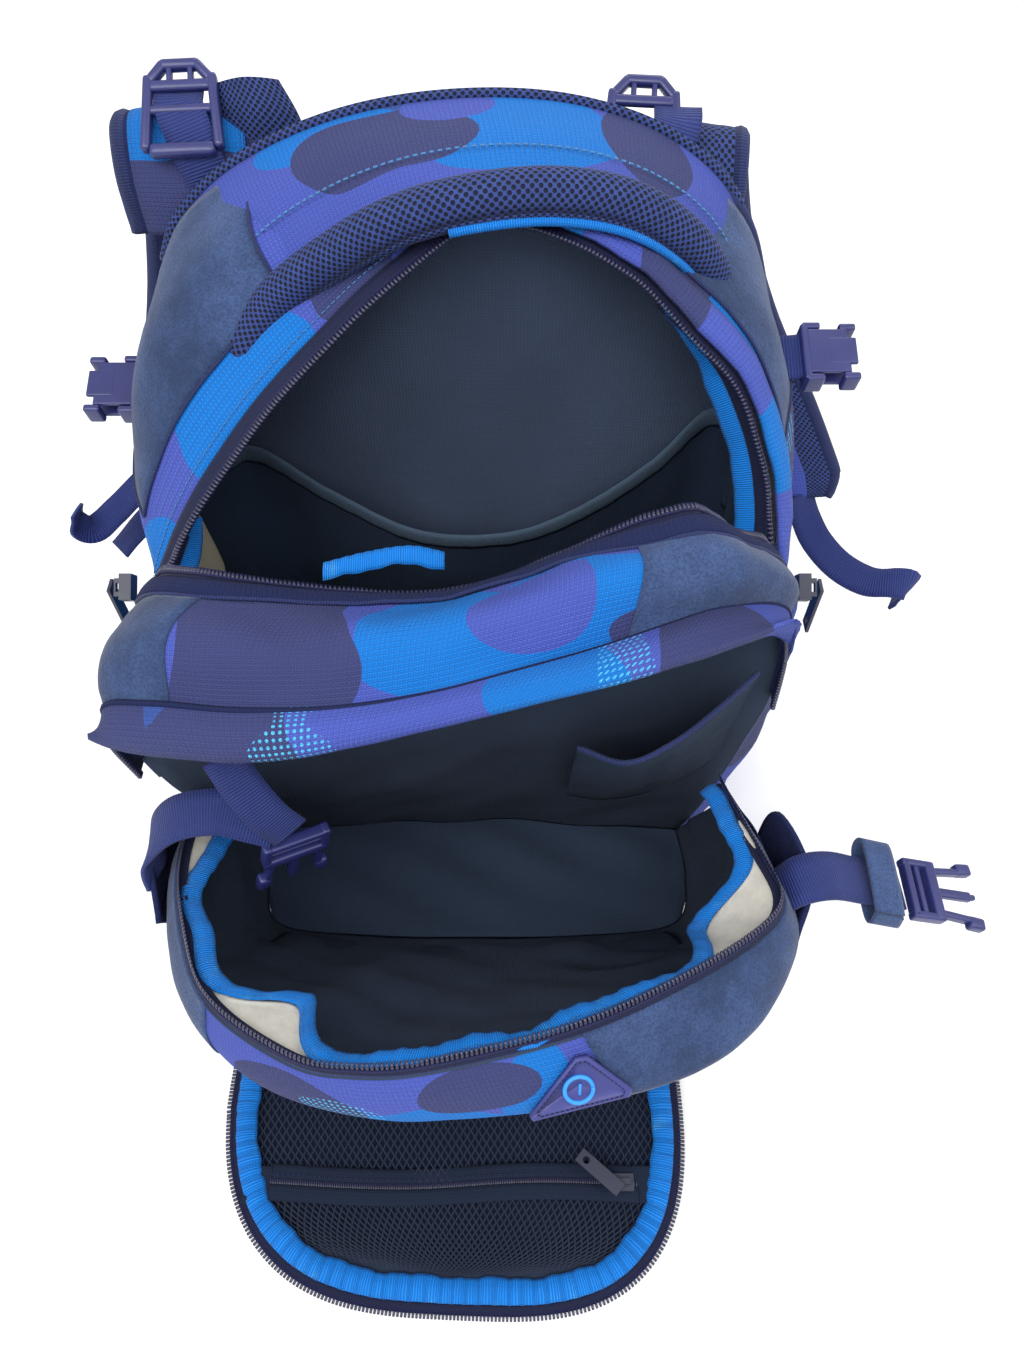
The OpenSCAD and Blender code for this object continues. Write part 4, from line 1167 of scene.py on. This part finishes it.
def shoulder_strap(s, word):
    """Padded core, camouflage face, mesh underside and bound edges of one strap; s is its side."""
    body = "strap_" + word
    path = spline(strap_route(s), 90)
    end = np.sqrt(np.clip(np.linspace(0.15, 15, 90)[::-1], 0, 1))[:, None]
    side = np.tile([1.0, 0.0, 0.0], (90, 1)) * (0.45 + 0.55 * end)
    grid, n = tube_grid(path, side, 6.6, 0.95)
    core = cloth(f"strap_core_{word}", grid, AIR_MESH if s > 0 else NAVY_CLOTH, 0.1)
    attach(core, body, nodes=["shoulder_strap_" + word])
    away = path - np.array([s * 12.0, 11.0, 30.0])
    outer_side = n * np.sign(np.sum(n * away, axis=1, keepdims=True))
    if s > 0:
        outer_side = -outer_side
    top = strip(f"strap_face_{word}", path - side * 2.8, side, outer_side, 0.0, 5.6, CAMO, 0.14, 0.36, 0.28,
                0.0, 9)
    ink(top, azure=[blob(s * 13.5, 12.8, 40.4, 5, 3.0, 2.0), blob(s * 15, 16.5, 28, 3, 3, 3)],
        dark=[blob(s * 12.6, 11.4, 36.6, 5, 2.4, 2.4), blob(s * 14, 17, 34, 4, 3, 2.5)])
    attach(top, body)
    under = strip(f"strap_mesh_{word}", path - side * 2.9, side, -outer_side, 0.0, 5.8, AIR_MESH, 0.3,
                  0.3 if s < 0 else 0.12, 0.3, 0.0, 9)
    attach(under, body)
    for k, edge in enumerate((-1, 1)):
        tape = cord_along(f"strap_binding_{word}_{k + 1}", path + side * edge * 3.3, 0.52, NAVY_BINDING, 10)
        attach(tape, body)


def strap_lobe():
    """The left strap's mesh underside where it turns back beside the handle."""
    left = [(-11.9, 12.4, 38.4), (-12.2, 12.9, 40.0), (-12.1, 13.6, 41.2)]
    middle = [(-9.6, 11.7, 38.6), (-9.8, 12.0, 40.8), (-10.2, 12.6, 42.0)]
    right = [(-7.6, 12.4, 37.8), (-7.9, 12.7, 40.0), (-8.7, 13.2, 41.6)]
    back = [(-8.1, 13.4, 37.4), (-8.7, 13.9, 39.6), (-9.6, 14.2, 41.0)]
    lobe = cloth("strap_lobe_left", loft([left, middle, right, back], 24, 24)[:, ::-1], AIR_MESH, 0.4)
    attach(lobe, "strap_left")


def webbing_strip(name, points, width, side, body, blend=None, nodes=()):
    """Flat webbing along a smooth route; side is the direction of its width."""
    count = 60
    path = spline(points, count)
    side = np.tile(np.array(side, float) / np.linalg.norm(side), (count, 1))
    t = np.gradient(path, axis=0)
    t /= np.linalg.norm(t, axis=1, keepdims=True)
    side = side - t * np.sum(side * t, axis=1, keepdims=True)
    side /= np.linalg.norm(side, axis=1, keepdims=True)
    n = np.cross(t, side)
    piece = strip(name, path - side * width / 2, side, n, 0.0, width, WEBBING, 0.2, 0.1, 0.03)
    attach(piece, body, blend, nodes=nodes)


def straps():
    """Both shoulder straps, their webbings and the loose tails."""
    strap_lobe()
    for s, word in ((-1, "left"), (1, "right")):
        shoulder_strap(s, word)
        route = strap_route(s)
        x, _, z = route[2]
        webbing_strip(f"adjuster_webbing_{word}",
                      [(x - s * 1.2, 10.3, z - 4.4), (x - s * 1.2, 10.5, z - 2.2),
                       (x - s * 0.8, 10.7, z - 0.5), (x - s * 0.4, 11.3, z + 0.6), (x, 12.2, z + 1.3),
                       (x + s * 0.1, 13.2, z + 1.5)],
                      2.3, (1, 0, 0), ROOT, ("strap_" + word, 10.4, 11.6), ["load_lifter_" + word])
        end = route[-1]
        webbing_strip(f"lower_webbing_{word}",
                      [(end[0] - s * 1.6, end[1] - 0.2, end[2] + 0.4),
                       (end[0] - s * 2.4, end[1] - 0.1, end[2] - 2.4),
                       ((end[0] + s * 15.4) / 2, 11.6, 10.5), (s * 15.4, 11.4, 6.4), (s * 14.8, 11.0, 3.6),
                       (s * 14.4, 10.6, 2.2)],
                      2.5, (1, 0, 0), "strap_" + word, nodes=["strap_webbing_" + word])
    # loose tails that show beside the bag
    webbing_strip("tail_left", [(-19.0, 10.4, 20.4), (-20.6, 9.0, 19.8), (-22.2, 7.4, 19.0),
                                (-23.4, 6.2, 18.6), (-24.0, 5.8, 19.4), (-23.8, 6.0, 20.4)],
                  1.7, (0.2, 1, 0.5), "strap_left")
    webbing_strip("tail_left_lower", [(-18.9, 10.6, 18.0), (-20.4, 9.6, 17.2), (-21.8, 8.4, 16.4),
                                      (-23.0, 7.2, 15.6)],
                  2.0, (0.4, 1, 0.4), "strap_left")
    webbing_strip("tail_right", [(21.2, 11.0, 16.8), (21.8, 10.2, 15.4), (22.6, 9.0, 14.4),
                                 (24.0, 7.6, 13.6), (25.8, 6.6, 13.2), (27.4, 6.1, 13.6), (28.4, 6.0, 13.4),
                                 (28.3, 6.2, 12.4), (27.8, 6.3, 11.6)],
                  2.1, (0.75, 0.7, 0.35), "strap_right")


def back_pads():
    """Two crowned mesh pads with rounded corners on the back."""
    for word, x in (("left", -7.2), ("right", 7.2)):
        rings = []
        for scale, depth in ((1.0, 0.1), (1.02, 0.5), (0.97, 0.95), (0.8, 1.2), (0.45, 1.32),
                             (0.004, 1.34)):
            ring = []
            for k in range(65):
                a = 2 * math.pi * k / 64
                c, s = math.cos(a), math.sin(a)
                ring.append((x + 4.7 * scale * math.copysign(abs(c) ** 0.5, c), 10.05 + depth,
                             19 + 13.4 * scale * math.copysign(abs(s) ** 0.4, s)))
            rings.append(ring)
        grid = across([np.array(r) for r in rings], 20)
        pad = cloth(f"back_pad_mesh_{word}", grid, BACK_MESH, 0.08, flat=(0, 2))
        attach(pad, ROOT, nodes=["back_pad_" + word])


def base():
    """Floors of the main compartment and of the second one, which narrows towards its front."""
    for name, y0, y1, body, node in (("base_skin", -4.2, 9.9, ROOT, "base_panel"),
                                     ("second_floor_skin", -13.3, -3.5, MIDDLE, "second_floor")):
        second = body == MIDDLE
        rows = []
        for y in np.linspace(y0, y1, 16):
            half = 14.1 - 1.6 * np.clip((-8.5 - y) / 4.9, 0, 1) ** 2 if second else 15.4
            xs = np.linspace(-half, half, 60)
            z = 0.62 + 0.1 * np.sin(xs * 0.9 + y)
            if second:
                z += 0.25 * np.sin(xs * 0.35 + y * 0.8) ** 2
            rows.append(np.stack([xs, np.full(60, y), z], 1))
        piece = cloth(name, np.array(rows), LINING_CLOTH, 0.45, SUEDE_CLOTH, flat=(0, 1))
        attach(piece, body, MIDDLE_TO_FRONT if second else None, nodes=[node])


def blocks(name, parts, material):
    """Rounded plastic blocks in one mesh; each is (centre, three axes, size, rounding) in centimetres."""
    whole = bmesh.new()
    layer = whole.loops.layers.uv.new("cloth")
    for centre, axes, size, rounding in parts:
        one = bmesh.new()
        bmesh.ops.create_cube(one, size=1.0)
        for vertex in one.verts:
            vertex.co = Vector([vertex.co[k] * size[k] for k in range(3)])
        bmesh.ops.bevel(one, geom=one.edges[:], offset=rounding, segments=3, profile=0.6, affect="EDGES")
        turn = Matrix([[a[k] for a in axes] for k in range(3)])
        made = {v: whole.verts.new((turn @ v.co + Vector(centre)) * CM) for v in one.verts}
        for face in one.faces:
            new = whole.faces.new([made[v] for v in face.verts])
            for loop in new.loops:
                loop[layer].uv = (loop.vert.co.x, loop.vert.co.y)
        one.free()
    mesh = bpy.data.meshes.new(name)
    whole.to_mesh(mesh)
    whole.free()
    mesh.shade_smooth()
    obj = bpy.data.objects.new(name, mesh)
    bpy.context.scene.collection.objects.link(obj)
    mesh.materials.append(material)
    return obj


def frame_axes(forward, up):
    """Three axes: along, across and up."""
    along = Vector(forward).normalized()
    across_it = Vector(up).cross(along).normalized()
    return along, across_it, along.cross(across_it)


def placed(at, forward, up):
    """Axes of a piece of hardware, and the function that puts its own x, y, z on the bag."""
    axes = frame_axes(forward, up)

    def point(x, y, z=0.0):
        return Vector(at) + axes[0] * x + axes[1] * y + axes[2] * z

    return axes, point


def plug_buckle(name, at, forward, up, body, node):
    """Plug half of a side-release buckle: slotted base, centre guide and two sprung arms."""
    axes, point = placed(at, forward, up)
    along, side, top = axes
    parts = [(point(0.55, 0), axes, (0.42, 3.3, 0.62), 0.14), (point(1.15, 0), axes, (0.3, 2.9, 0.45), 0.1),
             (point(1.95, 0), axes, (0.62, 3.3, 0.66), 0.15)]
    for edge in (-1, 1):
        parts.append((point(1.25, edge * 1.46), axes, (1.9, 0.4, 0.62), 0.13))
        lean = frame_axes(along + side * edge * 0.1, top)
        parts.append((point(3.1, edge * 1.26), lean, (2.1, 0.36, 0.5), 0.12))
        parts.append((point(4.15, edge * 1.5), lean, (0.95, 0.66, 0.62), 0.2))
    parts.append((point(3.1, 0), axes, (2.3, 0.5, 0.4), 0.12))
    parts.append((point(4.3, 0), axes, (0.5, 0.3, 0.34), 0.12))
    buckle = blocks(name, parts, BUCKLE)
    attach(buckle, body, nodes=[node])


def socket_buckle(name, at, forward, up, node):
    """Socket half: two shells with open sides and a forked mouth, and its webbing bar."""
    axes, point = placed(at, forward, up)
    parts = [(point(0.8, 0, 0), axes, (0.4, 3.2, 1.15), 0.16)]
    for z in (-0.48, 0.48):
        parts.append((point(1.9, 0, z), axes, (2.0, 2.5, 0.2), 0.08))
        parts.append((point(2.6, 0, z), axes, (1.4, 1.5, 0.22), 0.09))
    for edge in (-1, 1):
        parts.append((point(1.15, edge * 1.5), axes, (0.9, 0.36, 1.15), 0.13))
        parts.append((point(2.95, edge * 1.42), axes, (0.85, 0.4, 1.15), 0.16))
    buckle = blocks(name, parts, BUCKLE)
    attach(buckle, ROOT, nodes=[node])
    edges = [[point(-0.5, y), point(0.4, y, 0.1), point(0.95, y, 0.3)] for y in (-1.25, 1.25)]
    tab = cloth(name + "_tab", loft(edges, 14, 8), WEBBING, 0.2)
    attach(tab, ROOT)


def adjuster(name, at, forward, up, body, node):
    """Ladder-lock adjuster: rounded frame, two bars and a ribbed grip at its top."""
    axes, point = placed(at, forward, up)
    along, side, top = axes
    parts = []
    for edge in (-1, 1):
        lean = frame_axes(along - side * edge * 0.07, top)
        parts.append((point(-0.2, edge * 1.62), lean, (3.6, 0.46, 0.6), 0.2))
        slant = frame_axes(along - side * edge * 0.85, top)
        parts.append((point(1.75, edge * 1.1), slant, (1.2, 0.46, 0.56), 0.2))
    parts.append((point(-2.0, 0), axes, (0.6, 3.1, 0.6), 0.24))
    parts.append((point(-0.1, 0, 0.05), axes, (0.42, 3.0, 0.5), 0.18))
    parts.append((point(1.05, 0, 0.1), axes, (0.5, 2.9, 0.42), 0.18))
    parts.append((point(2.1, 0), axes, (0.5, 1.9, 0.56), 0.22))
    for k in (-0.5, 0.5):
        parts.append((point(1.6, k), axes, (0.9, 0.26, 0.4), 0.1))
    piece = blocks(name, parts, BUCKLE)
    attach(piece, body, nodes=[node])


def hardware():
    """Adjusters, sockets and plugs, each placed and turned as its CAD node."""
    adjuster("adjuster_left_body", (-13.3, 12.2, 40.75), (-0.05, 0.84, 0.54), (0, -0.54, 0.84),
             "strap_left", "strap_adjuster_left")
    adjuster("adjuster_right_body", (8.6, 12.7, 39.8), (0.05, 0.84, 0.54), (0, -0.54, 0.84), "strap_right",
             "strap_adjuster_right")
    socket_buckle("socket_left_body", (-16.1, 5.0, 30.2), (-1, 0, 0), (0, -0.3, 1), "buckle_socket_left")
    socket_buckle("socket_right_body", (16.1, 5.0, 32.2), (1, 0, 0), (0, -0.3, 1), "buckle_socket_right")
    tilt = math.radians(18)
    plug_buckle("plug_right_body", (22.4, -16.0, 15.3), (math.cos(tilt), 0, -math.sin(tilt)),
                (math.sin(tilt), 0, math.cos(tilt)), "buckle_right", "buckle_plug_right")
    tilt, roll = math.radians(103), math.radians(-62)
    plug_buckle("plug_left_body", (-7.9, -15.74, 20.9), (math.cos(tilt), 0, -math.sin(tilt)),
                (math.sin(tilt) * math.cos(roll), math.sin(roll), math.cos(tilt) * math.cos(roll)),
                "buckle_left", "buckle_plug_left")


def side_straps():
    """Anchor tabs and webbings that hold the two plugs, and the keeper on the right one."""
    for s, word, points in (
            (-1, "left", [(-14.9, -18.9, 17.6), (-15.6, -15.6, 18.6), (-15.2, -12.4, 17.2),
                          (-14.9, -13.0, 12.0), (-15.0, -16.6, 13.0)]),
            (1, "right", [(15.9, -19.6, 17.0), (16.9, -16.6, 18.0), (15.9, -12.6, 17.2),
                          (15.4, -13.6, 12.6), (15.6, -17.0, 13.0)])):
        outline = spline(points + [points[0]], 49)
        middle = outline.mean(0)
        grid = across([outline, middle + (outline - middle) * 0.5 + np.array([s * 0.35, 0, 0]),
                       middle + (outline - middle) * 0.03 + np.array([s * 0.4, 0, 0])], 10)
        tab = cloth(f"anchor_tab_{word}", grid, NAVY_CLOTH, 0.25)
        attach(tab, FRONT, nodes=["strap_anchor_" + word])
    webbing_strip("side_strap_right", [(15.4, -17.2, 17.2), (16.4, -16.9, 18.2), (18.0, -16.5, 17.9),
                                       (20.0, -16.2, 16.6), (22.3, -16.0, 15.4)],
                  2.5, (0, 1, 0), FRONT, nodes=["side_webbing_right"])
    webbing_strip("side_strap_left", [(-15.3, -16.4, 17.6), (-15.2, -15.6, 19.6), (-13.8, -15.2, 21.3),
                                      (-11.6, -15.2, 22.1), (-9.8, -15.5, 21.9), (-8.8, -15.6, 21.5)],
                  2.2, (0.1, 0.9, 0.42), FRONT, nodes=["side_webbing_left"])
    webbing_strip("side_strap_second", [(-10.4, -14.6, 26.2), (-9.8, -15.2, 24.6), (-8.9, -15.8, 22.9),
                                        (-8.1, -15.9, 21.4)],
                  1.9, (0.88, 0.47, 0), MIDDLE, nodes=["buckle_webbing_left"])
    rows = [[(20.2 + k, -18.0, 17.0 - k * 0.42), (20.2 + k, -16.0, 17.2 - k * 0.42),
             (20.2 + k, -14.2, 17.0 - k * 0.42), (20.1 + k, -14.2, 16.0 - k * 0.42),
             (20.1 + k, -16.0, 15.8 - k * 0.42), (20.1 + k, -18.0, 16.0 - k * 0.42),
             (20.2 + k, -18.0, 17.0 - k * 0.42)] for k in (0, 0.8, 1.6)]
    keeper = cloth("keeper_loop", loft(rows, 60, 8), SUEDE_CLOTH, 0.15)
    attach(keeper, FRONT, nodes=["webbing_keeper"])


def cad_materials():
    """Better materials for the CAD nodes that stay visible."""
    looks = {"frame_sheet": FRAME_PLASTIC}
    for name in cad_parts:
        if name.startswith(("main_slider", "main_pull", "pocket_slider", "pocket_pull")):
            looks[name] = SLIDER
    for name, material in looks.items():
        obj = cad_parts[name]
        obj.data.materials.clear()
        obj.data.materials.append(material)


make_camera()
make_stage()
shell = main_compartment()
back_panel()
main_trim(shell)
carry_handle()
pockets()
middle_section()
middle_storm_flap()
divider()
organiser()
rim, band_grid = front_section()
front_edge(rim, band_grid)
front_patch()
pocket_back()
pocket_flap()
straps()
back_pads()
base()
side_straps()
hardware()
cad_materials()
